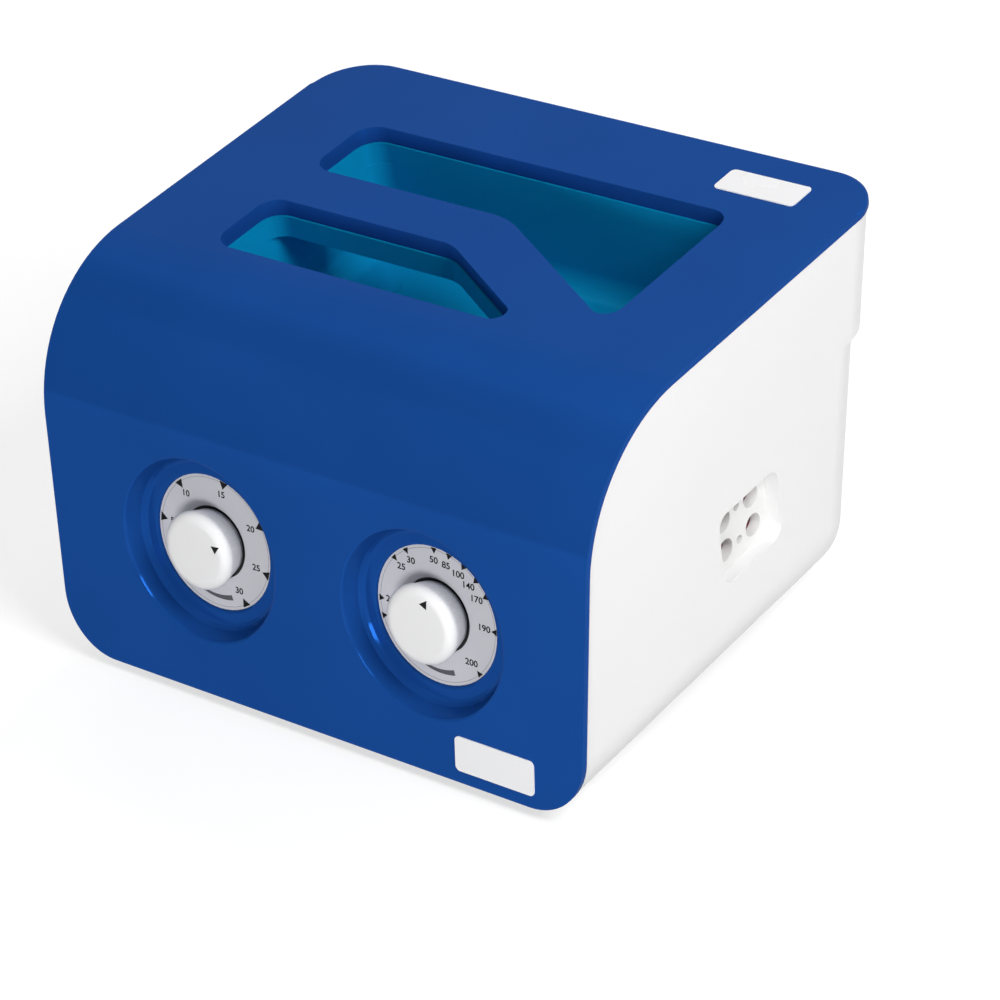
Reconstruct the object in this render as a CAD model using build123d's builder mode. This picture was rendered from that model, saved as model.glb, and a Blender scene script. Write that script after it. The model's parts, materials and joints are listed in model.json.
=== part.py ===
"""Air compression therapy pump with a storage tray, two dials and four hose sockets.

Millimetres. X runs to the right, Y to the back and Z up. The front faces -Y. The origin is on
the floor under the middle of the box that holds the whole machine.
"""

from build123d import *

import os
from math import cos, radians, sin, tan

# ---------------------------------------------------------------- casing
OVERALL_WIDTH = 250.0
OVERALL_DEPTH = 213.0
OVERALL_HEIGHT = 144.0
COVER_LIFT = 4.0  # the cover's lower edge above the floor
COVER_WALL = 2.5
CORNER_RADIUS = 23.4  # the cover's four corners
BEND_RADIUS = 59.0  # from the flat top down into the front panel
FRONT_LEAN = radians(10.7)
REAR_LEAN = radians(11.9)
SIDE_DRAFT = radians(2.47)
EDGE_ROUND = 0.9
HOUSING_INSET = 0.6  # the housing stands back from the cover's edge
HOUSING_WALL = 2.6
HOUSING_CORNER = 22.0
HOUSING_BOTTOM = 4.6
REAR_STEP = 6.0  # the lower rear wall stands further in
REAR_STEP_HEIGHT = 96.0
SKID_CHANNEL = (-56.0, 28.0)  # the underside is raised between the front and rear skids
SKID_HEIGHT = 9.0
SKID_ROUND = 5.0

# ---------------------------------------------------------------- top openings and tray
RIM_DEPTH = 6.5
RIM_WALL = 2.0
OPENING_LEFT = -84.0
OPENING_RIGHT = 83.0
OPENING_REAR = 66.3
HANDLE_REAR = 31.4
HANDLE_FRONT = 8.2
SLOT_FRONT = -26.9
HANDLE_SLOPE = 0.591  # fall per unit of width of the handle's slanted right part
TRAY_WALL = 2.0
TRAY_LIP = 0.7  # the tray's wells stand this far inside the cover's rims
TRAY_FLOOR = 94.0
TRAY_SKIRT = 128.7  # underside of the handle
TRAY_CORNER = 9.0
TRAY_FLOOR_ROUND = 8.9

# ---------------------------------------------------------------- dials
DIAL_OFFSET = 51.2  # from the middle plane
DIAL_UP_PANEL = 57.6  # from the panel's lower edge, along the panel
RECESS_RADIUS = 35.2
DIAL_RADIUS = 26.6
DIAL_DEPTH = 9.2  # the dial plate's face below the panel
DIAL_PLATE = 1.5
DIAL_HOLE = 14.2
KNOB_TOP_RADIUS = 15.1
KNOB_BASE_RADIUS = 12.8
KNOB_TOP = 2.2  # above the panel
SHAFT_RADIUS = 3.0
RUNNING_GAP = 0.05
BRACKET_SIDE = 66.0
BRACKET_PLATE = 1.5
BRACKET_PITCH = 58.0
LABEL_SIZE = (34.5, 13.7)
LABEL_THICKNESS = 0.4

# ---------------------------------------------------------------- hose sockets
SOCKET_RADIUS = 4.4
SOCKET_MOUTH = 4.0  # depth of the mouth in front of the seal
SOCKET_DEPTH = 12.0
SOCKET_PITCH = (17.3, 12.5)
SOCKET_CENTRE = (5.4, 58.2)  # Y, Z
SEAL_RADIUS = 5.0
SEAL_BORE = 2.2
PORT_POCKET = (36.2, 29.4)
PORT_POCKET_DEPTH = 5.5
KEY_HOLE_RADIUS = 1.7
KEY_HOLE_PITCH = 14.2
BLOCK_SCREW_PITCH = 50.0
AIR_WAY = 1.2  # radius of the air passages
TUBE_RADIUS = 3.0
TUBE_BORE = 1.9
BARB_RADIUS = 1.85
BARB_LENGTH = 7.0

# ---------------------------------------------------------------- air pump
PUMP_X, PUMP_Y, PUMP_Z = -58.0, 2.0, 53.0
PUMP_HALF_LENGTH = 38.0
PUMP_HALF_DEPTH = 31.0
PUMP_WALL = 2.5
DIAPHRAGM_THICKNESS = 1.5
DIAPHRAGM_RADIUS = 21.5
HEAD_THICKNESS = 13.0
HEAD_HALF = 24.0

# ---------------------------------------------------------------- distributor valve
VALVE_X, VALVE_Y = 22.0, 4.45
VALVE_RADIUS = 20.0
VALVE_POSTS = [(-20.5, -20.5), (20.5, -20.5), (20.5, 20.5)]  # from the valve's axis
MOTOR_RADIUS = 24.0
MOTOR_BOTTOM, MOTOR_TOP = 18.0, 36.0
VALVE_BRACKET_TOP = 37.5
VALVE_FACE = 56.0
VALVE_CAP_TOP = 70.0

os.makedirs("parts", exist_ok=True)


def save(block, name):
    """Label a finished sub-part and write it under its own name."""
    block.part.label = name
    export_step(block.part, f"parts/{name}.step")


# ================================================================ shared outlines
FRONT_BOTTOM = -OVERALL_DEPTH / 2
REAR_TOP = OVERALL_DEPTH / 2
COVER_UNDERSIDE = OVERALL_HEIGHT - COVER_WALL
RIM_BOTTOM = OVERALL_HEIGHT - RIM_DEPTH


def front_y(height, inset=0.0):
    """Y of the front panel's face at a height, moved inwards by the inset."""
    return FRONT_BOTTOM + (height - COVER_LIFT) * tan(FRONT_LEAN) + inset / cos(FRONT_LEAN)


def rear_y(height, inset=0.0):
    """Y of the leaning rear wall at a height, moved inwards by the inset."""
    return REAR_TOP - inset - (OVERALL_HEIGHT - height) * tan(REAR_LEAN)


def half_width(height, inset=0.0):
    """Half of the width at a height: the sides draw in towards the floor."""
    return OVERALL_WIDTH / 2 - inset - (OVERALL_HEIGHT - height) * tan(SIDE_DRAFT)


def side_view(inset, bottom, rear_points):
    """Closed side outline: flat top, large bend, leaning front, then the given rear points."""
    top = OVERALL_HEIGHT - inset
    front_foot = (front_y(bottom, inset), bottom)
    with BuildSketch(Plane.YZ) as outline:
        with BuildLine():
            bent = FilletPolyline(
                rear_points[-1], (front_y(top, inset), top), front_foot, radius=BEND_RADIUS - inset
            )
            Polyline(bent @ 1, *rear_points)
        make_face()
    return outline.sketch


def front_view(inset, bottom, corner):
    """Front outline: sides with draft, rounded lower corners."""
    top = OVERALL_HEIGHT + 5
    with BuildSketch(Plane.XZ) as outline:
        with BuildLine():
            Polyline(
                (-half_width(bottom, inset), bottom),
                (half_width(bottom, inset), bottom),
                (half_width(top, inset), top),
                (-half_width(top, inset), top),
                close=True,
            )
        make_face()
        if corner > 0:
            fillet(outline.vertices().group_by(Axis.Y)[0], corner)
    return outline.sketch


def opening_outline(height, inset):
    """The large storage opening behind the handle, seen from above."""
    corner = (HANDLE_REAR, OPENING_RIGHT)
    bend_x = OPENING_RIGHT - (HANDLE_REAR + 12.4) / HANDLE_SLOPE
    with BuildSketch(Plane.XY.offset(height)) as outline:
        with BuildLine():
            FilletPolyline(
                (OPENING_LEFT, OPENING_REAR),
                (OPENING_RIGHT, OPENING_REAR),
                (OPENING_RIGHT, corner[0] - (corner[1] - bend_x) * HANDLE_SLOPE),
                (bend_x, HANDLE_REAR),
                (OPENING_LEFT, HANDLE_REAR),
                radius=[9, 8, 6, 30, 9],
                close=True,
            )
        make_face()
        if inset:
            offset(amount=-inset)
    return outline.sketch


def slot_outline(height, inset):
    """The finger slot in front of the handle, seen from above."""
    bend_x = 1.1
    tip_x = bend_x + (HANDLE_FRONT - SLOT_FRONT) / HANDLE_SLOPE
    with BuildSketch(Plane.XY.offset(height)) as outline:
        with BuildLine():
            FilletPolyline(
                (OPENING_LEFT, HANDLE_FRONT),
                (bend_x, HANDLE_FRONT),
                (tip_x, SLOT_FRONT),
                (OPENING_LEFT, SLOT_FRONT),
                radius=[8, 18, 5, 9.5],
                close=True,
            )
        make_face()
        if inset:
            offset(amount=-inset)
    return outline.sketch


def panel_plane(across, up_panel):
    """Plane on the front panel's face: X right, Y up the panel, Z out of it."""
    centre = (
        across,
        FRONT_BOTTOM + up_panel * sin(FRONT_LEAN),
        COVER_LIFT + up_panel * cos(FRONT_LEAN),
    )
    return Plane(origin=centre, x_dir=(1, 0, 0), z_dir=(0, -cos(FRONT_LEAN), sin(FRONT_LEAN)))


def turned(plane, *points):
    """Solid of revolution about the plane's Z, from (radius, height above the plane) points."""
    section = Plane(origin=plane.origin, x_dir=plane.x_dir, z_dir=-plane.y_dir)
    with BuildPart() as solid:
        with BuildSketch(section):
            with BuildLine():
                Polyline(*points, close=True)
            make_face()
        revolve(axis=Axis(plane.origin, plane.z_dir))
    return solid.part


def bend_radii(points):
    """Largest arc that fits each corner: 0.45 of the shorter run over the half turn's tangent."""
    radii = []
    for before, here, after in zip(points, points[1:], points[2:]):
        run_in = Vector(*here) - Vector(*before)
        run_out = Vector(*after) - Vector(*here)
        half_turn = radians(run_in.get_angle(run_out)) / 2
        radii.append(0.45 * min(run_in.length, run_out.length) / tan(half_turn))
    return radii


timer_dial = panel_plane(-DIAL_OFFSET, DIAL_UP_PANEL)
pressure_dial = panel_plane(DIAL_OFFSET, DIAL_UP_PANEL)

# ================================================================ top cover
POST_PLACES = [(-96, 50), (96, 50)]
POST_BOTTOM = 70.0
LUG_PLACES = [-85, 85]
LUG_HEIGHT = 10.0
LUG_DEPTH = 13.0
SCREW_PILOT = 1.3
# X, Y of each of the tray's ears, and the way to the tray's wall from there
TRAY_EARS = [
    (-90.8, 41, 1, 0),
    (89.8, 30, -1, 0),
    (-40, 73, 0, -1),
    (40, 73, 0, -1),
    (-50, -33.6, 0, 1),
    (20, -33.6, 0, 1),
]

with BuildPart() as top_cover:
    extrude(
        side_view(0, COVER_LIFT, [(REAR_TOP, COVER_LIFT), (REAR_TOP, OVERALL_HEIGHT)]),
        amount=OVERALL_WIDTH,
        both=True,
    )
    front_outline = front_view(0, COVER_LIFT, CORNER_RADIUS)
    extrude(front_outline, amount=OVERALL_DEPTH, both=True, mode=Mode.INTERSECT)
    with BuildSketch(Plane.XY):
        with Locations((0, -OVERALL_DEPTH / 2)):
            Rectangle(OVERALL_WIDTH, 2 * OVERALL_DEPTH)
        fillet(vertices().group_by(Axis.Y)[-1], CORNER_RADIUS)
    extrude(amount=OVERALL_HEIGHT, mode=Mode.INTERSECT)
    below = COVER_LIFT - 5
    behind = REAR_TOP + 5
    extrude(
        side_view(COVER_WALL, below, [(behind, below), (behind, COVER_UNDERSIDE)]),
        amount=OVERALL_WIDTH,
        both=True,
        mode=Mode.SUBTRACT,
    )
    border = edges().filter_by(Axis.X).filter_by(lambda edge: edge.center().Z > OVERALL_HEIGHT - 0.1)
    fillet(border.sort_by(Axis.Y)[-1], EDGE_ROUND)
    # the funnels round both dials
    for dial in (timer_dial, pressure_dial):
        add(turned(dial, (0, -1), (39.5, -1), (39.5, -3), (34.5, -DIAL_DEPTH), (0, -DIAL_DEPTH)))
        add(
            turned(
                dial,
                (0, 1),
                (RECESS_RADIUS + 1.1, 1),
                (RECESS_RADIUS + 1.1, 0),
                (RECESS_RADIUS + 0.4, -0.3),
                (RECESS_RADIUS, -1.2),
                (33.4, -6.2),
                (32.4, -7.4),
                (31.2, -8.0),
                (27.6, -8.0),
                (DIAL_RADIUS + 0.2, -8.3),
                (DIAL_RADIUS, -8.7),
                (DIAL_RADIUS, -DIAL_DEPTH - 1),
                (0, -DIAL_DEPTH - 1),
            ),
            mode=Mode.SUBTRACT,
        )
        # bosses that carry the mechanism's bracket
        with BuildSketch(dial.offset(-DIAL_DEPTH - DIAL_PLATE)):
            with GridLocations(BRACKET_PITCH, BRACKET_PITCH, 2, 2):
                Circle(3.5)
        extrude(until=Until.NEXT)
        with BuildSketch(dial.offset(-DIAL_DEPTH - DIAL_PLATE)):
            with GridLocations(BRACKET_PITCH, BRACKET_PITCH, 2, 2):
                Circle(SCREW_PILOT)
        extrude(amount=7, mode=Mode.SUBTRACT)
    # rims round the openings, turned down from the top
    for outline in (opening_outline, slot_outline):
        extrude(outline(RIM_BOTTOM, -RIM_WALL), amount=RIM_DEPTH - 1)
    for outline in (opening_outline, slot_outline):
        extrude(outline(RIM_BOTTOM - 1, 0), amount=RIM_DEPTH + 5, mode=Mode.SUBTRACT)
    # posts for the rear screws, and lugs for the front ones
    with BuildSketch(Plane.XY.offset(POST_BOTTOM)):
        with Locations(*POST_PLACES):
            Circle(4.5)
    extrude(until=Until.NEXT)
    with BuildSketch(Plane.XY.offset(POST_BOTTOM)):
        with Locations(*POST_PLACES):
            Circle(SCREW_PILOT)
    extrude(amount=8, mode=Mode.SUBTRACT)
    lug_bottom = HOUSING_BOTTOM + HOUSING_WALL + 0.1
    lug_front = front_y(lug_bottom, COVER_WALL) - 0.2
    with BuildSketch(Plane.XY.offset(lug_bottom)):
        for place in LUG_PLACES:
            with Locations((place, lug_front + LUG_DEPTH / 2)):
                Rectangle(12, LUG_DEPTH)
    extrude(amount=LUG_HEIGHT)
    with BuildSketch(Plane.XY.offset(lug_bottom)):
        for place in LUG_PLACES:
            with Locations((place, lug_front + LUG_DEPTH - 5)):
                Circle(SCREW_PILOT)
    extrude(amount=8, mode=Mode.SUBTRACT)
    # bosses for the tray's ears
    with BuildSketch(Plane.XY.offset(RIM_BOTTOM)):
        with Locations(*[(ear[0], ear[1]) for ear in TRAY_EARS]):
            Circle(3.5)
    extrude(until=Until.NEXT)
    with BuildSketch(Plane.XY.offset(RIM_BOTTOM)):
        with Locations(*[(ear[0], ear[1]) for ear in TRAY_EARS]):
            Circle(1.1)
    extrude(amount=5, mode=Mode.SUBTRACT)
save(top_cover, "top_cover")

# ================================================================ main housing
CHANNEL_TOP = HOUSING_BOTTOM + SKID_HEIGHT
RAISED_FLOOR = CHANNEL_TOP + HOUSING_WALL
LOW_FLOOR = HOUSING_BOTTOM + HOUSING_WALL
SOCKET_Y, SOCKET_Z = SOCKET_CENTRE
PORT = Plane(
    origin=(half_width(SOCKET_Z, HOUSING_INSET), SOCKET_Y, SOCKET_Z),
    x_dir=(0, 1, 0),
    z_dir=(cos(SIDE_DRAFT), 0, -sin(SIDE_DRAFT)),
)
INLET_X, INLET_Z = -74.0, 42.0
INLET_OPENING = (25.0, 15.0)
INLET = Plane(
    origin=(INLET_X, rear_y(INLET_Z) - REAR_STEP, INLET_Z),
    x_dir=(-1, 0, 0),
    z_dir=(0, cos(REAR_LEAN), -sin(REAR_LEAN)),
)
VENT_CENTRE = Plane(
    origin=(45, rear_y(60) - REAR_STEP, 60), x_dir=(-1, 0, 0), z_dir=(0, cos(REAR_LEAN), -sin(REAR_LEAN))
)
FOOT_PLACES = [(-70, -80), (70, -80), (-70, 42), (70, 42)]
BOARD_CENTRE = (10.0, 50.0)
BOARD_SIZE = (76.0, 24.0)
BOARD_HEIGHT = 20.0
BOARD_POSTS = (68.0, 17.0)


def tub(inset):
    """The housing's block: sides with draft, leaning stepped rear, rounded rear and lower edges."""
    low = HOUSING_BOTTOM + inset
    step = REAR_STEP_HEIGHT + inset
    high = OVERALL_HEIGHT + 5
    ahead = -OVERALL_DEPTH * 0.7
    radius = HOUSING_CORNER - inset
    blocks = []
    for bottom, top, set_back, lowest in ((low, step, REAR_STEP, low - 1), (step, high, 0.5, step + 1)):
        with BuildPart() as block:
            with BuildSketch(Plane.YZ):
                with BuildLine():
                    Polyline(
                        (ahead, bottom),
                        (rear_y(bottom) - set_back - inset, bottom),
                        (rear_y(top) - set_back - inset, top),
                        (ahead, top),
                        close=True,
                    )
                make_face()
            extrude(amount=OVERALL_WIDTH, both=True)
            trapezoid = front_view(HOUSING_INSET + inset, bottom, 0)
            extrude(trapezoid, amount=OVERALL_DEPTH, both=True, mode=Mode.INTERSECT)
            rounded = block.edges().filter_by(
                lambda edge: lowest < edge.center().Z < top - 1 and edge.center().Y > ahead + 1
            )
            fillet(rounded, radius)
        blocks.append(block.part)
    return blocks[0] + blocks[1]


def channel(inset):
    """The raised stretch of the underside, across the whole width."""
    front, rear = SKID_CHANNEL
    ceiling = CHANNEL_TOP + inset
    with BuildPart() as block:
        with BuildSketch(Plane.YZ):
            with BuildLine():
                Polyline(
                    (front - inset, -5),
                    (rear + inset, -5),
                    (rear + inset, ceiling),
                    (front - inset, ceiling),
                    close=True,
                )
            make_face()
            fillet(vertices().group_by(Axis.Y)[-1], SKID_ROUND + inset)
        extrude(amount=OVERALL_WIDTH, both=True)
    return block.part


def rounded_block(plane, width, height, depth, corner, start=0.0):
    """A block with rounded corners standing on a plane, its base moved along the plane's Z."""
    with BuildPart() as block:
        with BuildSketch(plane.offset(start)):
            RectangleRounded(width, height, corner)
        extrude(amount=depth)
    return block.part


housing_hollow = tub(HOUSING_WALL) - channel(HOUSING_WALL)

with BuildPart() as main_housing:
    add(tub(0))
    under_cover = COVER_WALL + 0.1
    profile_rear = [(OVERALL_DEPTH, 0), (OVERALL_DEPTH, OVERALL_HEIGHT - under_cover)]
    extrude(side_view(under_cover, 0, profile_rear), amount=OVERALL_WIDTH, both=True, mode=Mode.INTERSECT)
    add(channel(0), mode=Mode.SUBTRACT)
    add(housing_hollow, mode=Mode.SUBTRACT)
    # frame of the hose socket window, and bosses for the socket block behind it
    pocket_width, pocket_height = PORT_POCKET
    frame_size = (pocket_width + 4, pocket_height + 4)
    add(rounded_block(PORT, *frame_size, PORT_POCKET_DEPTH - 1, 7, -PORT_POCKET_DEPTH))
    add(rounded_block(PORT, *PORT_POCKET, 20, 5, -PORT_POCKET_DEPTH), mode=Mode.SUBTRACT)
    with BuildSketch(PORT.offset(-PORT_POCKET_DEPTH)):
        with GridLocations(BLOCK_SCREW_PITCH, 1, 2, 1):
            Circle(4)
    extrude(amount=PORT_POCKET_DEPTH - 1)
    with BuildSketch(PORT.offset(-PORT_POCKET_DEPTH)):
        with GridLocations(BLOCK_SCREW_PITCH, 1, 2, 1):
            Circle(SCREW_PILOT)
    extrude(amount=PORT_POCKET_DEPTH - 1.2, mode=Mode.SUBTRACT)
    # power inlet opening and ventilation slots in the rear wall
    add(rounded_block(INLET, *INLET_OPENING, 10, 2, -5), mode=Mode.SUBTRACT)
    with BuildSketch(VENT_CENTRE.offset(-6)):
        with GridLocations(8, 1, 9, 1):
            SlotOverall(30, 3, rotation=90)
    extrude(amount=12, mode=Mode.SUBTRACT)
    # columns for the rear screws, with bores from below
    with BuildSketch(Plane.XY.offset(LOW_FLOOR - 1)):
        with Locations(*POST_PLACES):
            Circle(5.5)
    extrude(amount=POST_BOTTOM - 0.1 - LOW_FLOOR + 1)
    with BuildSketch(Plane.XY):
        with Locations(*POST_PLACES):
            Circle(3.5)
    extrude(amount=POST_BOTTOM - 3, mode=Mode.SUBTRACT)
    with BuildSketch(Plane.XY):
        with Locations(*POST_PLACES):
            Circle(1.8)
    extrude(amount=POST_BOTTOM, mode=Mode.SUBTRACT)
    # holes under the front lugs, and for the feet
    with BuildSketch(Plane.XY):
        for place in LUG_PLACES:
            with Locations((place, lug_front + LUG_DEPTH - 5)):
                Circle(1.8)
        with Locations(*FOOT_PLACES):
            Circle(2.5)
    extrude(amount=LOW_FLOOR + 1, mode=Mode.SUBTRACT)
    # posts for the circuit board and for the valve's bridge
    with BuildSketch(Plane.XY.offset(LOW_FLOOR - 1)):
        with Locations(BOARD_CENTRE):
            with GridLocations(*BOARD_POSTS, 2, 2):
                Circle(3)
    extrude(amount=BOARD_HEIGHT - LOW_FLOOR + 1)
    with BuildSketch(Plane.XY.offset(CHANNEL_TOP + 0.5)):
        with Locations((VALVE_X, VALVE_Y)):
            with Locations(*VALVE_POSTS):
                Circle(4)
    extrude(amount=MOTOR_TOP - CHANNEL_TOP - 0.5)
    with BuildSketch(Plane.XY.offset(BOARD_HEIGHT)):
        with Locations(BOARD_CENTRE):
            with GridLocations(*BOARD_POSTS, 2, 2):
                Circle(SCREW_PILOT)
    extrude(amount=-8, mode=Mode.SUBTRACT)
    with BuildSketch(Plane.XY.offset(MOTOR_TOP)):
        with Locations((VALVE_X, VALVE_Y)):
            with Locations(*VALVE_POSTS):
                Circle(SCREW_PILOT)
    extrude(amount=-10, mode=Mode.SUBTRACT)
save(main_housing, "main_housing")

# ================================================================ storage tray
TRAY_TOP = RIM_BOTTOM - 0.1
TRAY_LEFT = OPENING_LEFT + TRAY_LIP
TRAY_RIGHT = OPENING_RIGHT - TRAY_LIP
TRAY_FRONT = SLOT_FRONT + TRAY_LIP
TRAY_REAR = OPENING_REAR - TRAY_LIP
TRAY_CENTRE = ((TRAY_LEFT + TRAY_RIGHT) / 2, (TRAY_FRONT + TRAY_REAR) / 2)
TRAY_SIZE = (TRAY_RIGHT - TRAY_LEFT, TRAY_REAR - TRAY_FRONT)
EAR_THICKNESS = 2.0


def tray_block(grow, bottom, top):
    """A rounded box with the tray's plan, grown on all sides, with a rounded floor edge."""
    with BuildPart() as block:
        with BuildSketch(Plane.XY.offset(bottom)):
            with Locations(TRAY_CENTRE):
                RectangleRounded(TRAY_SIZE[0] + 2 * grow, TRAY_SIZE[1] + 2 * grow, TRAY_CORNER + grow)
        extrude(amount=top - bottom)
        fillet(block.faces().sort_by(Axis.Z)[0].edges(), TRAY_FLOOR_ROUND + grow)
    return block.part


with BuildPart() as storage_tray:
    add(tray_block(TRAY_WALL, TRAY_FLOOR - TRAY_WALL, TRAY_SKIRT + TRAY_WALL))
    for outline in (opening_outline, slot_outline):
        extrude(outline(TRAY_SKIRT, TRAY_LIP - TRAY_WALL), amount=TRAY_TOP - TRAY_SKIRT)
    with BuildSketch(Plane.XY.offset(TRAY_TOP - EAR_THICKNESS)):
        for x, y, to_x, to_y in TRAY_EARS:
            with Locations((x, y)):
                Circle(4)
            with Locations((x + 3.3 * to_x, y + 3.3 * to_y)):
                Rectangle(6.6 if to_x else 8, 6.6 if to_y else 8)
    extrude(amount=EAR_THICKNESS)
    add(tray_block(0, TRAY_FLOOR, TRAY_SKIRT), mode=Mode.SUBTRACT)
    for outline in (opening_outline, slot_outline):
        extrude(outline(TRAY_SKIRT, TRAY_LIP), amount=20, mode=Mode.SUBTRACT)
    with BuildSketch(Plane.XY.offset(TRAY_FLOOR - 1)):
        with Locations((-60, 36.5)):
            Circle(4.5)
    extrude(amount=1.8)
    with BuildSketch(Plane.XY.offset(TRAY_TOP - EAR_THICKNESS)):
        with Locations(*[(ear[0], ear[1]) for ear in TRAY_EARS]):
            Circle(1.4)
    extrude(amount=EAR_THICKNESS, mode=Mode.SUBTRACT)
save(storage_tray, "storage_tray")

# ================================================================ feet, labels and screws


def screw(name, planes, shank, head_radius, head_height=1.6, shank_radius=1.25):
    """Equal screws in one node: each plane lies under a head, its Z out of the head."""
    with BuildPart() as group:
        for plane in planes:
            with BuildSketch(plane):
                Circle(head_radius)
            extrude(amount=head_height)
            with BuildSketch(plane):
                Circle(shank_radius)
            extrude(amount=-shank)
            with BuildSketch(plane.offset(head_height)):
                Rectangle(head_radius * 1.3, 0.7)
                Rectangle(0.7, head_radius * 1.3)
            extrude(amount=-head_height * 0.5, mode=Mode.SUBTRACT)
    save(group, name)


with BuildPart() as rubber_feet:
    for x, y in FOOT_PLACES:
        add(
            turned(
                Plane((x, y, 0)),
                (0, 0),
                (7.0, 0),
                (8.0, 1.0),
                (8.0, HOUSING_BOTTOM - 0.05),
                (2.4, HOUSING_BOTTOM - 0.05),
                (2.4, LOW_FLOOR + 0.1),
                (3.2, LOW_FLOOR + 0.2),
                (2.0, LOW_FLOOR + 3),
                (0, LOW_FLOOR + 3),
            )
        )
save(rubber_feet, "rubber_feet")

with BuildPart() as blank_labels:
    for plane in (Plane((83.0, 85.5, OVERALL_HEIGHT)), panel_plane(81.8, 11.8)):
        with BuildSketch(plane.offset(0.01)):
            RectangleRounded(*LABEL_SIZE, 2)
        extrude(amount=LABEL_THICKNESS)
save(blank_labels, "blank_labels")


def facing_down(x, y, z):
    """Plane that looks down, for a screw driven up from below."""
    return Plane(origin=(x, y, z), x_dir=(1, 0, 0), z_dir=(0, 0, -1))


def facing_in(plane, x, y, z):
    """Plane at local coordinates that looks against the given plane's Z."""
    return Plane(origin=plane.from_local_coords((x, y, z)), x_dir=plane.x_dir, z_dir=-plane.z_dir)


cover_planes = [facing_down(x, y, POST_BOTTOM - 3) for x, y in POST_PLACES]
cover_planes += [facing_down(x, lug_front + LUG_DEPTH - 5, HOUSING_BOTTOM) for x in LUG_PLACES]
screw("cover_screws", cover_planes, 9, 3.0)
tray_planes = [facing_down(ear[0], ear[1], TRAY_TOP - EAR_THICKNESS) for ear in TRAY_EARS]
screw("tray_screws", tray_planes, 6, 2.4, shank_radius=1.05)

# ================================================================ dials and what they work
PLATE_FACE = -DIAL_DEPTH
PLATE_BACK = PLATE_FACE - DIAL_PLATE
BRACKET_BACK = PLATE_BACK - BRACKET_PLATE
CASE_DEPTH = 26.0
CASE_SIDE = 42.0
CASE_WALL = 2.0
BUSHING_RADIUS = 5.0
NUT_HEIGHT = 2.5
KNOB_BOTTOM = -9.9
KNOB_HOLLOW_TOP = -4.0
SHAFT_TIP = -1.0
BUSHING_TIP = PLATE_BACK + NUT_HEIGHT + 0.6
REGULATOR_RADIUS = 17.0
SEAT_RADIUS = 11.0


def knob(name, dial):
    """Round knob, wider at the top, hollow below for the bushing's nut."""
    with BuildPart() as body:
        add(
            turned(
                dial,
                (0, KNOB_HOLLOW_TOP),
                (9.5, KNOB_HOLLOW_TOP),
                (9.5, KNOB_BOTTOM),
                (KNOB_BASE_RADIUS, KNOB_BOTTOM),
                (KNOB_TOP_RADIUS, KNOB_TOP - 3.2),
                (KNOB_TOP_RADIUS - 0.1, KNOB_TOP - 2.2),
                (KNOB_TOP_RADIUS - 0.6, KNOB_TOP - 1.2),
                (KNOB_TOP_RADIUS - 1.5, KNOB_TOP - 0.5),
                (KNOB_TOP_RADIUS - 2.7, KNOB_TOP - 0.1),
                (KNOB_TOP_RADIUS - 3.7, KNOB_TOP),
                (0, KNOB_TOP),
            )
        )
        with BuildSketch(dial.offset(KNOB_HOLLOW_TOP)):
            Circle(SHAFT_RADIUS + 0.02)
        extrude(amount=SHAFT_TIP - KNOB_HOLLOW_TOP + 0.2, mode=Mode.SUBTRACT)
    save(body, name)


def dial_plate(name, dial):
    """Flat ring that carries the dial's scale, behind the cover's lip."""
    with BuildPart() as plate:
        with BuildSketch(dial.offset(PLATE_BACK)):
            Circle(30.0)
            Circle(DIAL_HOLE, mode=Mode.SUBTRACT)
        extrude(amount=DIAL_PLATE)
    save(plate, name)


def bracket(name, dial):
    """Square steel plate on the cover's bosses, with a hole for the bushing."""
    with BuildPart() as plate:
        with BuildSketch(dial.offset(BRACKET_BACK)):
            RectangleRounded(BRACKET_SIDE, BRACKET_SIDE, 4)
            Circle(BUSHING_RADIUS + 0.1, mode=Mode.SUBTRACT)
            with GridLocations(BRACKET_PITCH, BRACKET_PITCH, 2, 2):
                Circle(1.7, mode=Mode.SUBTRACT)
            with PolarLocations(22.0, 4, start_angle=45):
                Circle(3.0, mode=Mode.SUBTRACT)
        extrude(amount=BRACKET_PLATE)
    save(plate, name)


def shaft(name, dial, end, flange_radius, flange_from, flange_to):
    """Round shaft with a collar inside the mechanism, and a flat where the knob grips it."""
    with BuildPart() as body:
        add(
            turned(
                dial,
                (0, end),
                (SHAFT_RADIUS, end),
                (SHAFT_RADIUS, flange_from),
                (flange_radius, flange_from),
                (flange_radius, flange_to),
                (SHAFT_RADIUS, flange_to),
                (SHAFT_RADIUS, SHAFT_TIP),
                (0, SHAFT_TIP),
            )
        )
    save(body, name)


for word, dial in (("timer", timer_dial), ("pressure", pressure_dial)):
    knob(f"{word}_knob", dial)
    dial_plate(f"{word}_dial_plate", dial)
    bracket(f"{word}_bracket", dial)

# hexagon nuts that clamp both bushings to their brackets
with BuildPart() as shaft_nuts:
    for dial in (timer_dial, pressure_dial):
        with BuildSketch(dial.offset(PLATE_BACK)):
            RegularPolygon(7.0, 6)
            Circle(BUSHING_RADIUS + 0.02, mode=Mode.SUBTRACT)
        extrude(amount=NUT_HEIGHT)
save(shaft_nuts, "shaft_nuts")

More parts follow.
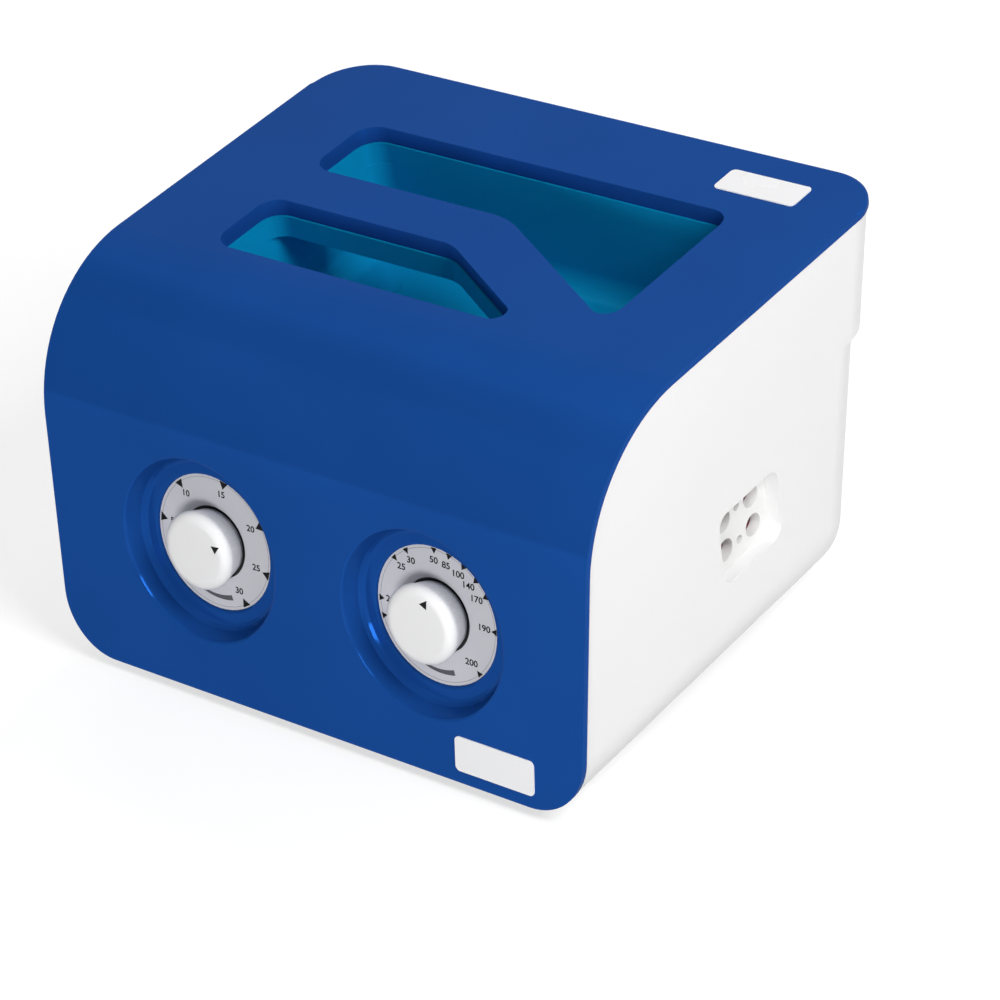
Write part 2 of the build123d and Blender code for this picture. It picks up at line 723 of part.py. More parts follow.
# timer: a square case with a bushing, a rear plate, and a cam and contacts inside
CASE_BACK = BRACKET_BACK - CASE_DEPTH
with BuildPart() as timer_case:
    with BuildSketch(timer_dial.offset(CASE_BACK)):
        RectangleRounded(CASE_SIDE, CASE_SIDE, 4)
    extrude(amount=CASE_DEPTH - 0.01)
    with BuildSketch(timer_dial.offset(CASE_BACK)):
        RectangleRounded(CASE_SIDE - 2 * CASE_WALL, CASE_SIDE - 2 * CASE_WALL, 2)
    extrude(amount=CASE_DEPTH - CASE_WALL, mode=Mode.SUBTRACT)
    with BuildSketch(timer_dial.offset(BRACKET_BACK - 1)):
        Circle(BUSHING_RADIUS)
    extrude(amount=BUSHING_TIP - BRACKET_BACK + 1)
    with BuildSketch(timer_dial.offset(CASE_BACK)):
        Circle(SHAFT_RADIUS + RUNNING_GAP)
    extrude(amount=CASE_DEPTH + 10, mode=Mode.SUBTRACT)
save(timer_case, "timer_case")

with BuildPart() as timer_back_plate:
    with BuildSketch(timer_dial.offset(CASE_BACK - 2)):
        RectangleRounded(CASE_SIDE, CASE_SIDE, 4)
    extrude(amount=1.98)
    # two push-on terminals
    with BuildSketch(timer_dial.offset(CASE_BACK - 10)):
        with Locations((-8, -14), (8, -14)):
            Rectangle(5, 0.8)
    extrude(amount=8.5)
save(timer_back_plate, "timer_back_plate")
shaft("timer_shaft", timer_dial, CASE_BACK + 2.5, 5.0, CASE_BACK + 12.0, CASE_BACK + 18.0)

with BuildPart() as timer_cam:
    with BuildSketch(timer_dial.offset(CASE_BACK + 6)):
        Circle(11)
        with Locations((0, 11)):
            Circle(2, mode=Mode.SUBTRACT)
        Circle(SHAFT_RADIUS + 0.02, mode=Mode.SUBTRACT)
    extrude(amount=5.9)
save(timer_cam, "timer_cam")

with BuildPart() as timer_contacts:
    with BuildSketch(timer_dial.offset(CASE_BACK + 0.05)):
        with Locations((0, 16)):
            Rectangle(16, 4)
    extrude(amount=15)
save(timer_contacts, "timer_contacts")

# pressure regulator: the stem turns a disc on the body's floor, and a tapered groove in the disc
# uncovers more or less of a bleed hole
REGULATOR_DEPTH = 30.0
REGULATOR_BACK = BRACKET_BACK - REGULATOR_DEPTH
REGULATOR_FLOOR = REGULATOR_BACK + 2.0
COLLAR_BOTTOM = BRACKET_BACK - 4.9
SEAT_TOP = COLLAR_BOTTOM - 0.02
SEAT_HEIGHT = 4.0
DISC_BOTTOM = REGULATOR_FLOOR + 0.1
DISC_THICKNESS = 2.0
BLEED_OFFSET = 8.6
GROOVE_RIM = 9.6
GROOVE_START, GROOVE_TURN = 60.0, 250.0  # degrees
GROOVE_NARROW, GROOVE_WIDE = 0.2, 2.2
regulator_inlet = Plane(
    origin=pressure_dial.from_local_coords((0, 0, REGULATOR_BACK + 9.0)),
    x_dir=pressure_dial.y_dir,
    z_dir=-pressure_dial.x_dir,
)
with BuildPart() as regulator_body:
    add(
        turned(
            pressure_dial,
            (SHAFT_RADIUS + RUNNING_GAP, BUSHING_TIP),
            (BUSHING_RADIUS, BUSHING_TIP),
            (BUSHING_RADIUS, BRACKET_BACK - 0.01),
            (REGULATOR_RADIUS, BRACKET_BACK - 0.01),
            (REGULATOR_RADIUS, REGULATOR_BACK),
            (AIR_WAY, REGULATOR_BACK),
            (AIR_WAY, REGULATOR_FLOOR),
            (SEAT_RADIUS + 0.4, REGULATOR_FLOOR),
            (SEAT_RADIUS + 0.4, BRACKET_BACK - 3.0),
            (SHAFT_RADIUS + RUNNING_GAP, BRACKET_BACK - 3.0),
        )
    )
    add(
        turned(
            pressure_dial,
            (AIR_WAY, REGULATOR_BACK + 1),
            (3.0, REGULATOR_BACK + 1),
            (3.0, REGULATOR_BACK - 2),
            (BARB_RADIUS, REGULATOR_BACK - 2),
            (BARB_RADIUS, REGULATOR_BACK - BARB_LENGTH),
            (AIR_WAY, REGULATOR_BACK - BARB_LENGTH),
        )
    )
    with BuildSketch(regulator_inlet.offset(REGULATOR_RADIUS - 2)):
        Circle(3.0)
    extrude(amount=4)
    with BuildSketch(regulator_inlet.offset(REGULATOR_RADIUS + 2)):
        Circle(BARB_RADIUS)
    extrude(amount=BARB_LENGTH)
    with BuildSketch(regulator_inlet.offset(SEAT_RADIUS)):
        Circle(AIR_WAY)
    extrude(amount=20, mode=Mode.SUBTRACT)
    with BuildSketch(pressure_dial.offset(REGULATOR_BACK)):
        with Locations((-BLEED_OFFSET, 0)):
            Circle(0.8)
    extrude(amount=2, mode=Mode.SUBTRACT)
save(regulator_body, "regulator_body")
shaft("regulator_stem", pressure_dial, DISC_BOTTOM + 0.8, 6.0, COLLAR_BOTTOM, COLLAR_BOTTOM + 1.8)

with BuildPart() as spring_seat:
    add(
        turned(
            pressure_dial,
            (SHAFT_RADIUS + 0.02, SEAT_TOP),
            (SEAT_RADIUS, SEAT_TOP),
            (SEAT_RADIUS, SEAT_TOP - SEAT_HEIGHT),
            (6.0, SEAT_TOP - SEAT_HEIGHT),
            (6.0, SEAT_TOP - SEAT_HEIGHT + 2.0),
            (SHAFT_RADIUS + 0.02, SEAT_TOP - SEAT_HEIGHT + 2.0),
        )
    )
save(spring_seat, "regulator_spring_seat")

with BuildPart() as regulator_disc:
    with BuildSketch(pressure_dial.offset(DISC_BOTTOM)):
        Circle(SEAT_RADIUS)
        Circle(SHAFT_RADIUS + 0.02, mode=Mode.SUBTRACT)
        with PolarLocations(4.5, 3):
            Circle(0.9, mode=Mode.SUBTRACT)
    extrude(amount=DISC_THICKNESS)
    # recess under the disc, from the three holes to the outlet in the middle of the floor
    with BuildSketch(pressure_dial.offset(DISC_BOTTOM)):
        Circle(5.7)
    extrude(amount=0.6, mode=Mode.SUBTRACT)
    # tapered groove over the bleed hole
    with BuildSketch(pressure_dial.offset(DISC_BOTTOM)):
        with BuildLine():
            rim = CenterArc((0, 0), GROOVE_RIM, GROOVE_START, GROOVE_TURN)
            spiral = []
            for step in range(11):
                radius = GROOVE_RIM - GROOVE_WIDE + (GROOVE_WIDE - GROOVE_NARROW) * step / 10
                angle = radians(GROOVE_START + GROOVE_TURN * (1 - step / 10))
                spiral.append((radius * cos(angle), radius * sin(angle)))
            inner = Spline(*spiral)
            Line(rim @ 1, inner @ 0)
            Line(inner @ 1, rim @ 0)
        make_face()
    extrude(amount=DISC_THICKNESS, mode=Mode.SUBTRACT)
save(regulator_disc, "regulator_disc")

SPRING_WIRE = 0.6
spring_bottom = DISC_BOTTOM + DISC_THICKNESS + SPRING_WIRE + 0.1
spring_height = SEAT_TOP - SEAT_HEIGHT - SPRING_WIRE - 0.1 - spring_bottom
with BuildPart() as regulator_spring:
    with BuildLine() as coil_line:
        Helix(
            pitch=spring_height / 4,
            height=spring_height,
            radius=6.6,
            center=pressure_dial.from_local_coords((0, 0, spring_bottom)),
            direction=pressure_dial.z_dir,
        )
    with BuildSketch(Plane(origin=coil_line.line @ 0, z_dir=coil_line.line % 0)):
        Circle(SPRING_WIRE)
    sweep(path=coil_line.line)
save(regulator_spring, "regulator_spring")

# ================================================================ hose socket block
BLOCK_FRONT = -PORT_POCKET_DEPTH - 0.02
BLOCK_PLATE = 3.0
BLOCK_BACK = BLOCK_FRONT - BLOCK_PLATE
SOCKET_WALL = 1.1  # round a seal's seat; neighbouring sockets stay apart
SOCKET_END = BLOCK_FRONT - SOCKET_DEPTH
SEAL_FRONT = BLOCK_FRONT - SOCKET_MOUTH
CAP_THICKNESS = 2.0
CAP_BACK = SOCKET_END - 0.02 - CAP_THICKNESS
SOCKET_GRID = GridLocations(*SOCKET_PITCH, 2, 2)

with BuildPart() as socket_block:
    with BuildSketch(PORT.offset(BLOCK_BACK)):
        RectangleRounded(58, 33, 4)
    extrude(amount=BLOCK_PLATE)
    with BuildSketch(PORT.offset(SOCKET_END)):
        with SOCKET_GRID:
            Circle(SEAL_RADIUS + SOCKET_WALL)
    extrude(amount=BLOCK_BACK - SOCKET_END)
    with BuildSketch(PORT.offset(SOCKET_END)):
        with SOCKET_GRID:
            Circle(SOCKET_RADIUS)
    extrude(amount=SOCKET_DEPTH, mode=Mode.SUBTRACT)
    with BuildSketch(PORT.offset(SOCKET_END)):
        with SOCKET_GRID:
            Circle(SEAL_RADIUS)
    extrude(amount=SEAL_FRONT - SOCKET_END, mode=Mode.SUBTRACT)
    with BuildSketch(PORT.offset(BLOCK_BACK)):
        with GridLocations(1, KEY_HOLE_PITCH, 1, 2):
            Circle(KEY_HOLE_RADIUS)
        with GridLocations(BLOCK_SCREW_PITCH, 1, 2, 1):
            Circle(1.7)
    extrude(amount=BLOCK_PLATE, mode=Mode.SUBTRACT)
save(socket_block, "hose_socket_block")

# rubber sleeves that the hose plug's spigots press against
with BuildPart() as socket_seals:
    with BuildSketch(PORT.offset(SOCKET_END)):
        with SOCKET_GRID:
            Circle(SEAL_RADIUS - 0.02)
            Circle(SEAL_BORE, mode=Mode.SUBTRACT)
    extrude(amount=SEAL_FRONT - SOCKET_END - 0.02)
save(socket_seals, "socket_seals")

# caps that close the sockets behind the seals, each with a barb for its tube
with BuildPart() as socket_caps:
    with BuildSketch(PORT.offset(CAP_BACK)):
        with SOCKET_GRID:
            Circle(SEAL_RADIUS + SOCKET_WALL)
    extrude(amount=CAP_THICKNESS)
    with BuildSketch(PORT.offset(CAP_BACK)):
        with SOCKET_GRID:
            Circle(BARB_RADIUS)
    extrude(amount=-BARB_LENGTH)
    with BuildSketch(PORT.offset(CAP_BACK)):
        with SOCKET_GRID:
            Circle(AIR_WAY)
    extrude(amount=BARB_LENGTH, both=True, mode=Mode.SUBTRACT)
save(socket_caps, "socket_caps")

# ================================================================ air pump
PUMP = Plane(origin=(PUMP_X, PUMP_Y, PUMP_Z))
PUMP_HALF_HEIGHT = 25.0
END_HOLE = 16.0
ARMATURE = (66.0, 12.0, 24.0)
MAGNET_LENGTH = 14.0
HUB_RADIUS = 7.7
DIAPHRAGM_HOLE = 8.0
CORE_NEAR = 8.0
CORE_FAR = 27.0
LEG_PITCH = 22.0
ISOLATOR_PITCH = (60.0, 44.0)
HEAD_BARB_X = PUMP_HALF_LENGTH + 8.5
ISOLATOR_HEIGHT = PUMP_Z - PUMP_HALF_HEIGHT - RAISED_FLOOR


def pump_box(half_length, half_depth, low, high):
    """A box about the pump's centre, between two levels relative to it."""
    with BuildPart() as block:
        with BuildSketch(PUMP.offset(low)):
            Rectangle(2 * half_length, 2 * half_depth)
        extrude(amount=high - low)
    return block.part


def along_pump(plane_x, radius, length):
    """A round bar along the pump's axis, from an X relative to its centre."""
    start = Plane(origin=(PUMP_X + plane_x, PUMP_Y, PUMP_Z), x_dir=(0, 1, 0), z_dir=(1, 0, 0))
    with BuildPart() as bar:
        with BuildSketch(start):
            Circle(radius)
        extrude(amount=length)
    return bar.part


for name, low, high in (
    ("pump_case_base", -PUMP_HALF_HEIGHT, -0.02),
    ("pump_case_lid", 0.02, PUMP_HALF_HEIGHT),
):
    floor = low + PUMP_WALL if low < -1 else low - 1
    ceiling = high - PUMP_WALL if high > 1 else high + 1
    with BuildPart() as half:
        add(pump_box(PUMP_HALF_LENGTH, PUMP_HALF_DEPTH, low, high))
        fillet(half.edges().filter_by(Axis.Z), 3)
        add(
            pump_box(PUMP_HALF_LENGTH - PUMP_WALL, PUMP_HALF_DEPTH - PUMP_WALL, floor, ceiling),
            mode=Mode.SUBTRACT,
        )
        add(along_pump(-PUMP_HALF_LENGTH - 1, END_HOLE, 2 * PUMP_HALF_LENGTH + 2), mode=Mode.SUBTRACT)
        # ribs that hold the iron cores
        rib_from, rib_to = (low + 1, -9.1) if low < -1 else (9.1, high - 1)
        for side in (-1, 1):
            with BuildSketch(PUMP.offset(rib_from)):
                with Locations((0, side * 24)):
                    Rectangle(44, 3)
            extrude(amount=rib_to - rib_from)
    save(half, name)

with BuildPart() as pump_armature:
    length, thickness, height = ARMATURE
    with BuildSketch(PUMP.offset(-height / 2)):
        Rectangle(length, thickness)
        with GridLocations(LEG_PITCH, 1, 2, 1):
            Rectangle(MAGNET_LENGTH + 0.1, thickness, mode=Mode.SUBTRACT)
    extrude(amount=height)
    for z in (-height / 2, height / 2 - 2.5):
        add(pump_box(length / 2, thickness / 2, z, z + 2.5))
    for side in (-1, 1):
        add(along_pump(side * 32, 4.0, side * 6))
        add(along_pump(side * 36.8, HUB_RADIUS, side * 3.9))
save(pump_armature, "pump_armature")

with BuildPart() as armature_magnets:
    with BuildSketch(PUMP.offset(-ARMATURE[2] / 2 + 2.52)):
        with GridLocations(LEG_PITCH, 1, 2, 1):
            Rectangle(MAGNET_LENGTH, ARMATURE[1])
    extrude(amount=ARMATURE[2] - 5.04)
save(armature_magnets, "armature_magnets")

for word, side in (("front", -1), ("rear", 1)):
    with BuildPart() as core:
        with BuildSketch(PUMP.offset(-9)):
            with Locations((0, side * (CORE_FAR - 2.5))):
                Rectangle(2 * LEG_PITCH + 8, 5)
            for x in (-LEG_PITCH, 0, LEG_PITCH):
                with Locations((x, side * (CORE_NEAR + CORE_FAR) / 2)):
                    Rectangle(8, CORE_FAR - CORE_NEAR)
        extrude(amount=18)
    save(core, f"pump_core_{word}")
    with BuildPart() as coil:
        coil_plane = Plane(
            origin=(PUMP_X, PUMP_Y + side * 9, PUMP_Z), x_dir=(1, 0, 0), z_dir=(0, side, 0)
        )
        with BuildSketch(coil_plane):
            RectangleRounded(34, 36, 6)
            RectangleRounded(8.4, 18.4, 0.5, mode=Mode.SUBTRACT)
        extrude(amount=12.8)
    save(coil, f"pump_coil_{word}")

for word, side in (("left", -1), ("right", 1)):
    inner = PUMP_X + side * (PUMP_HALF_LENGTH + 0.02)
    facing = Plane(origin=(inner, PUMP_Y, PUMP_Z), x_dir=(0, 1, 0), z_dir=(side, 0, 0))
    with BuildPart() as diaphragm:
        add(
            turned(
                facing,
                (DIAPHRAGM_HOLE, 0),
                (11.0, 0),
                (13.0, -1.0),
                (15.0, 0),
                (DIAPHRAGM_RADIUS, 0),
                (DIAPHRAGM_RADIUS, DIAPHRAGM_THICKNESS),
                (15.4, DIAPHRAGM_THICKNESS),
                (13.0, DIAPHRAGM_THICKNESS - 1.0),
                (10.6, DIAPHRAGM_THICKNESS),
                (DIAPHRAGM_HOLE, DIAPHRAGM_THICKNESS),
            )
        )
    save(diaphragm, f"diaphragm_{word}")
    with BuildPart() as head:
        with BuildSketch(facing):
            RectangleRounded(2 * HEAD_HALF, 2 * HEAD_HALF, 3)
        extrude(amount=HEAD_THICKNESS)
        with BuildSketch(facing):
            Circle(DIAPHRAGM_RADIUS + 0.1)
        extrude(amount=DIAPHRAGM_THICKNESS + 0.05, mode=Mode.SUBTRACT)
        with BuildSketch(facing):
            Circle(17)
        extrude(amount=7.0, mode=Mode.SUBTRACT)
        barb_plane = Plane(
            origin=(PUMP_X + side * HEAD_BARB_X, PUMP_Y - HEAD_HALF, PUMP_Z + 14),
            x_dir=(1, 0, 0),
            z_dir=(0, -1, 0),
        )
        with BuildSketch(barb_plane):
            Circle(BARB_RADIUS)
        extrude(amount=BARB_LENGTH)
        with BuildSketch(barb_plane):
            Circle(AIR_WAY)
        extrude(amount=BARB_LENGTH, both=True, mode=Mode.SUBTRACT)
    save(head, f"pump_head_{word}")

with BuildPart() as pump_isolators:
    with BuildSketch(Plane.XY.offset(RAISED_FLOOR + 0.02)):
        with Locations((PUMP_X, PUMP_Y)):
            with GridLocations(*ISOLATOR_PITCH, 2, 2):
                Circle(6)
    extrude(amount=ISOLATOR_HEIGHT - 0.04)
    fillet(pump_isolators.edges().group_by(Axis.Z)[-1], 1)
save(pump_isolators, "pump_isolators")

with BuildPart() as intake_filter:
    with BuildSketch(Plane.XY.offset(PUMP_Z + PUMP_HALF_HEIGHT + 0.02)):
        with Locations((PUMP_X, PUMP_Y)):
            Circle(11)
    extrude(amount=7)
    chamfer(intake_filter.edges().group_by(Axis.Z)[-1], 2)
save(intake_filter, "intake_filter")

# ================================================================ distributor valve
PORT_CIRCLE = 12.65
ROTOR_BASE = VALVE_FACE + 0.1
ROTOR_HEIGHT = 4.0
VALVE_SHAFT_RADIUS = 2.5
OUTLET_ROWS = (-12.0, -4.0, 4.0, 12.0)  # Y of the outlets from the valve's axis
OUTLET_HEIGHT = 47.0


def valve_disc(bottom, top, radius, bore=0.0):
    """A disc or ring about the valve's axis."""
    with BuildPart() as disc:
        with BuildSketch(Plane.XY.offset(bottom)):
            with Locations((VALVE_X, VALVE_Y)):
                Circle(radius)
                if bore:
                    Circle(bore, mode=Mode.SUBTRACT)
        extrude(amount=top - bottom)
    return disc.part


with BuildPart() as valve_motor:
    add(valve_disc(MOTOR_BOTTOM, MOTOR_TOP - 0.02, MOTOR_RADIUS))
    fillet(valve_motor.edges().group_by(Axis.Z)[0], 1.5)
    add(valve_disc(MOTOR_BOTTOM + 6, MOTOR_TOP, VALVE_SHAFT_RADIUS + RUNNING_GAP), mode=Mode.SUBTRACT)
save(valve_motor, "valve_motor")

with BuildPart() as valve_bridge:
    with BuildSketch(Plane.XY.offset(MOTOR_TOP)):
        with Locations((VALVE_X, VALVE_Y)):
            RectangleRounded(50, 50, 4)
            Circle(6, mode=Mode.SUBTRACT)
            with Locations(*VALVE_POSTS):
                Circle(1.7, mode=Mode.SUBTRACT)
    extrude(amount=VALVE_BRACKET_TOP - MOTOR_TOP)
save(valve_bridge, "valve_bridge")

with BuildPart() as valve_stator:
    add(valve_disc(VALVE_BRACKET_TOP + 0.02, VALVE_FACE, VALVE_RADIUS))
    add(valve_disc(VALVE_BRACKET_TOP, VALVE_FACE, VALVE_SHAFT_RADIUS + RUNNING_GAP), mode=Mode.SUBTRACT)
    outlets = Plane(origin=(VALVE_X, VALVE_Y, OUTLET_HEIGHT), x_dir=(0, 1, 0), z_dir=(1, 0, 0))
    with BuildSketch(outlets.offset(VALVE_RADIUS - 6)):
        with Locations(*[(row, 0) for row in OUTLET_ROWS]):
            Circle(BARB_RADIUS)
    extrude(amount=BARB_LENGTH + 6)
    # each air passage runs in from the side, then up to the valve's face
    for row in OUTLET_ROWS:
        reach = (PORT_CIRCLE**2 - row**2) ** 0.5
        with BuildSketch(outlets.offset(reach)):
            with Locations((row, 0)):
                Circle(AIR_WAY)
        extrude(amount=40, mode=Mode.SUBTRACT)
        with BuildSketch(Plane.XY.offset(OUTLET_HEIGHT)):
            with Locations((VALVE_X + reach, VALVE_Y + row)):
                Circle(AIR_WAY)
        extrude(amount=20, mode=Mode.SUBTRACT)
save(valve_stator, "valve_stator")

with BuildPart() as valve_rotor:
    add(valve_disc(ROTOR_BASE, ROTOR_BASE + ROTOR_HEIGHT, 15.5, VALVE_SHAFT_RADIUS + 0.02))
    with BuildSketch(Plane.XY.offset(ROTOR_BASE)):
        with Locations((VALVE_X, VALVE_Y)):
            with PolarLocations(PORT_CIRCLE, 1, start_angle=180):
                Circle(2)
    extrude(amount=ROTOR_HEIGHT, mode=Mode.SUBTRACT)
    add(valve_disc(ROTOR_BASE + ROTOR_HEIGHT, ROTOR_BASE + 7, 5, VALVE_SHAFT_RADIUS + 0.02))
save(valve_rotor, "valve_rotor")

with BuildPart() as valve_shaft:
    add(valve_disc(MOTOR_BOTTOM + 6.1, ROTOR_BASE + 6.5, VALVE_SHAFT_RADIUS))
save(valve_shaft, "valve_shaft")

CAP_INLET_ANGLE = radians(-45)
CAP_INLET_HEIGHT = 65.0
cap_inlet_way = (cos(CAP_INLET_ANGLE), sin(CAP_INLET_ANGLE), 0)
cap_inlet = Plane(origin=(VALVE_X, VALVE_Y, CAP_INLET_HEIGHT), x_dir=(0, 0, 1), z_dir=cap_inlet_way)
with BuildPart() as valve_cap:
    add(valve_disc(VALVE_FACE + 0.02, VALVE_CAP_TOP, VALVE_RADIUS))
    fillet(valve_cap.edges().group_by(Axis.Z)[-1], 2)
    add(valve_disc(VALVE_FACE, VALVE_CAP_TOP - 2.5, 17), mode=Mode.SUBTRACT)
    with BuildSketch(cap_inlet.offset(VALVE_RADIUS - 1)):
        Circle(BARB_RADIUS)
    extrude(amount=BARB_LENGTH)
    with BuildSketch(cap_inlet.offset(VALVE_RADIUS - 5)):
        Circle(AIR_WAY)
    extrude(amount=20, mode=Mode.SUBTRACT)
save(valve_cap, "valve_cap")

# ================================================================ air tubes
TEE = (PUMP_X + HEAD_BARB_X, PUMP_Y - 47.0, PUMP_Z + 14.0)
with BuildPart() as tube_tee:
    for plane, radius, lengths in (
        (Plane(origin=TEE, x_dir=(0, 1, 0), z_dir=(1, 0, 0)), 3.2, 4.0),
        (Plane(origin=TEE, x_dir=(0, 1, 0), z_dir=(1, 0, 0)), BARB_RADIUS, 4.0 + BARB_LENGTH),
    ):
        with BuildSketch(plane):
            Circle(radius)
        extrude(amount=lengths, both=True)
    with BuildSketch(Plane(origin=TEE, x_dir=(1, 0, 0), z_dir=(0, 1, 0))):
        Circle(BARB_RADIUS)
    extrude(amount=10)
    with BuildSketch(Plane(origin=TEE, x_dir=(0, 1, 0), z_dir=(1, 0, 0))):
        Circle(AIR_WAY)
    extrude(amount=12, both=True, mode=Mode.SUBTRACT)
    with BuildSketch(Plane(origin=TEE, x_dir=(1, 0, 0), z_dir=(0, 1, 0))):
        Circle(AIR_WAY)
    extrude(amount=12, mode=Mode.SUBTRACT)
save(tube_tee, "tube_tee")

SLEEVE_GAP = 0.3  # a tube's end stops this far from the face behind the barb
feed_port = regulator_inlet.from_local_coords((0, 0, REGULATOR_RADIUS + 2 + SLEEVE_GAP))
feed_stub = regulator_inlet.from_local_coords((0, 0, REGULATOR_RADIUS + 18))
cap_face = cap_inlet.from_local_coords((0, 0, VALVE_RADIUS + SLEEVE_GAP))
cap_stub = cap_inlet.from_local_coords((0, 0, VALVE_RADIUS + 17))


def tubing(name, routes, radius=TUBE_RADIUS, bore=TUBE_BORE):
    """Flexible tubes or wires in one node, each a list of points joined by large arcs."""
    with BuildPart() as group:
        for points in routes:
            with BuildLine() as route:
                if len(points) == 2:
                    Line(*points)
                else:
                    FilletPolyline(*points, radius=bend_radii(points))
            with BuildSketch(Plane(origin=route.line @ 0, z_dir=route.line % 0)):
                Circle(radius)
                if bore:
                    Circle(bore, mode=Mode.SUBTRACT)
            sweep(path=route.line)
    save(group, name)


tee_x, tee_y, tee_z = TEE
head_face = PUMP_Y - HEAD_HALF - SLEEVE_GAP
tubing(
    "pump_tubes",
    [
        [
            (PUMP_X - HEAD_BARB_X, head_face, tee_z),
            (PUMP_X - HEAD_BARB_X, tee_y, tee_z),
            (tee_x - 4 - SLEEVE_GAP, tee_y, tee_z),
        ],
        [(tee_x, head_face, tee_z), (tee_x, tee_y + 3.2 + SLEEVE_GAP, tee_z)],
    ],
)
tubing(
    "feed_tube",
    [[(tee_x + 4 + SLEEVE_GAP, tee_y, tee_z), (tee_x + 18, tee_y, tee_z), feed_stub, feed_port]],
)
tubing(
    "regulated_tube",
    [
        [
            pressure_dial.from_local_coords((0, 0, REGULATOR_BACK - 2 - SLEEVE_GAP)),
            pressure_dial.from_local_coords((0, 0, REGULATOR_BACK - 16)),
            cap_stub,
            cap_face,
        ]
    ],
)
OUTLET_ORDER = ((-1, -1), (-1, 1), (1, 1), (1, -1))  # the socket that each outlet feeds
outlet_routes = []
for row, (right, upper) in zip(OUTLET_ROWS, OUTLET_ORDER):
    socket_at = (right * SOCKET_PITCH[0] / 2, upper * SOCKET_PITCH[1] / 2)
    outlet_routes.append(
        [
            (VALVE_X + VALVE_RADIUS + SLEEVE_GAP, VALVE_Y + row, OUTLET_HEIGHT),
            (VALVE_X + VALVE_RADIUS + 14, VALVE_Y + row, OUTLET_HEIGHT),
            PORT.from_local_coords((*socket_at, CAP_BACK - 14)),
            PORT.from_local_coords((*socket_at, CAP_BACK - SLEEVE_GAP)),
        ]
    )
tubing("outlet_tubes", outlet_routes)

# ================================================================ power and control
INLET_BODY_DEPTH = 18.0
PIN_PITCH = 8.6
PIN_RADIUS = 1.2
with BuildPart() as power_inlet:
    with BuildSketch(INLET.offset(0.02)):
        RectangleRounded(INLET_OPENING[0] + 6, INLET_OPENING[1] + 6, 3)
    extrude(amount=2)
    with BuildSketch(INLET.offset(-INLET_BODY_DEPTH)):
        RectangleRounded(INLET_OPENING[0] - 0.4, INLET_OPENING[1] - 0.4, 1.8)
    extrude(amount=INLET_BODY_DEPTH + 0.5)
    with BuildSketch(INLET.offset(3)):
        SlotOverall(17, 8.4)
    extrude(amount=-15, mode=Mode.SUBTRACT)
    with BuildSketch(INLET.offset(3)):
        with GridLocations(PIN_PITCH, 1, 2, 1):
            Circle(PIN_RADIUS)
    extrude(amount=-30, mode=Mode.SUBTRACT)
save(power_inlet, "power_inlet")

with BuildPart() as inlet_pins:
    with BuildSketch(INLET.offset(-2.5)):
        with GridLocations(PIN_PITCH, 1, 2, 1):
            Circle(PIN_RADIUS - 0.01)
    extrude(amount=-20)
save(inlet_pins, "inlet_pins")

BOARD_THICKNESS = 1.6
board_x, board_y = BOARD_CENTRE
BOARD_TOP = BOARD_HEIGHT + 0.02 + BOARD_THICKNESS
with BuildPart() as circuit_board:
    with BuildSketch(Plane.XY.offset(BOARD_HEIGHT + 0.02)):
        with Locations(BOARD_CENTRE):
            Rectangle(*BOARD_SIZE)
            with GridLocations(*BOARD_POSTS, 2, 2):
                Circle(1.5, mode=Mode.SUBTRACT)
    extrude(amount=BOARD_THICKNESS)
save(circuit_board, "circuit_board")

with BuildPart() as terminal_block:
    with BuildSketch(Plane.XY.offset(BOARD_TOP + 0.02)):
        with Locations((board_x - 6, board_y)):
            Rectangle(40, 9)
    extrude(amount=11)
    chamfer(terminal_block.edges().group_by(Axis.Z)[-1], 1)
    with BuildSketch(Plane.XY.offset(BOARD_TOP + 11)):
        with Locations((board_x - 6, board_y)):
            with GridLocations(8, 1, 5, 1):
                Circle(2)
    extrude(amount=-3, mode=Mode.SUBTRACT)
save(terminal_block, "terminal_block")

with BuildPart() as run_capacitor:
    with BuildSketch(Plane.XY.offset(BOARD_TOP + 0.02)):
        with Locations((board_x + 26, board_y)):
            Circle(7)
    extrude(amount=24)
    fillet(run_capacitor.edges().group_by(Axis.Z)[-1], 1)
save(run_capacitor, "run_capacitor")

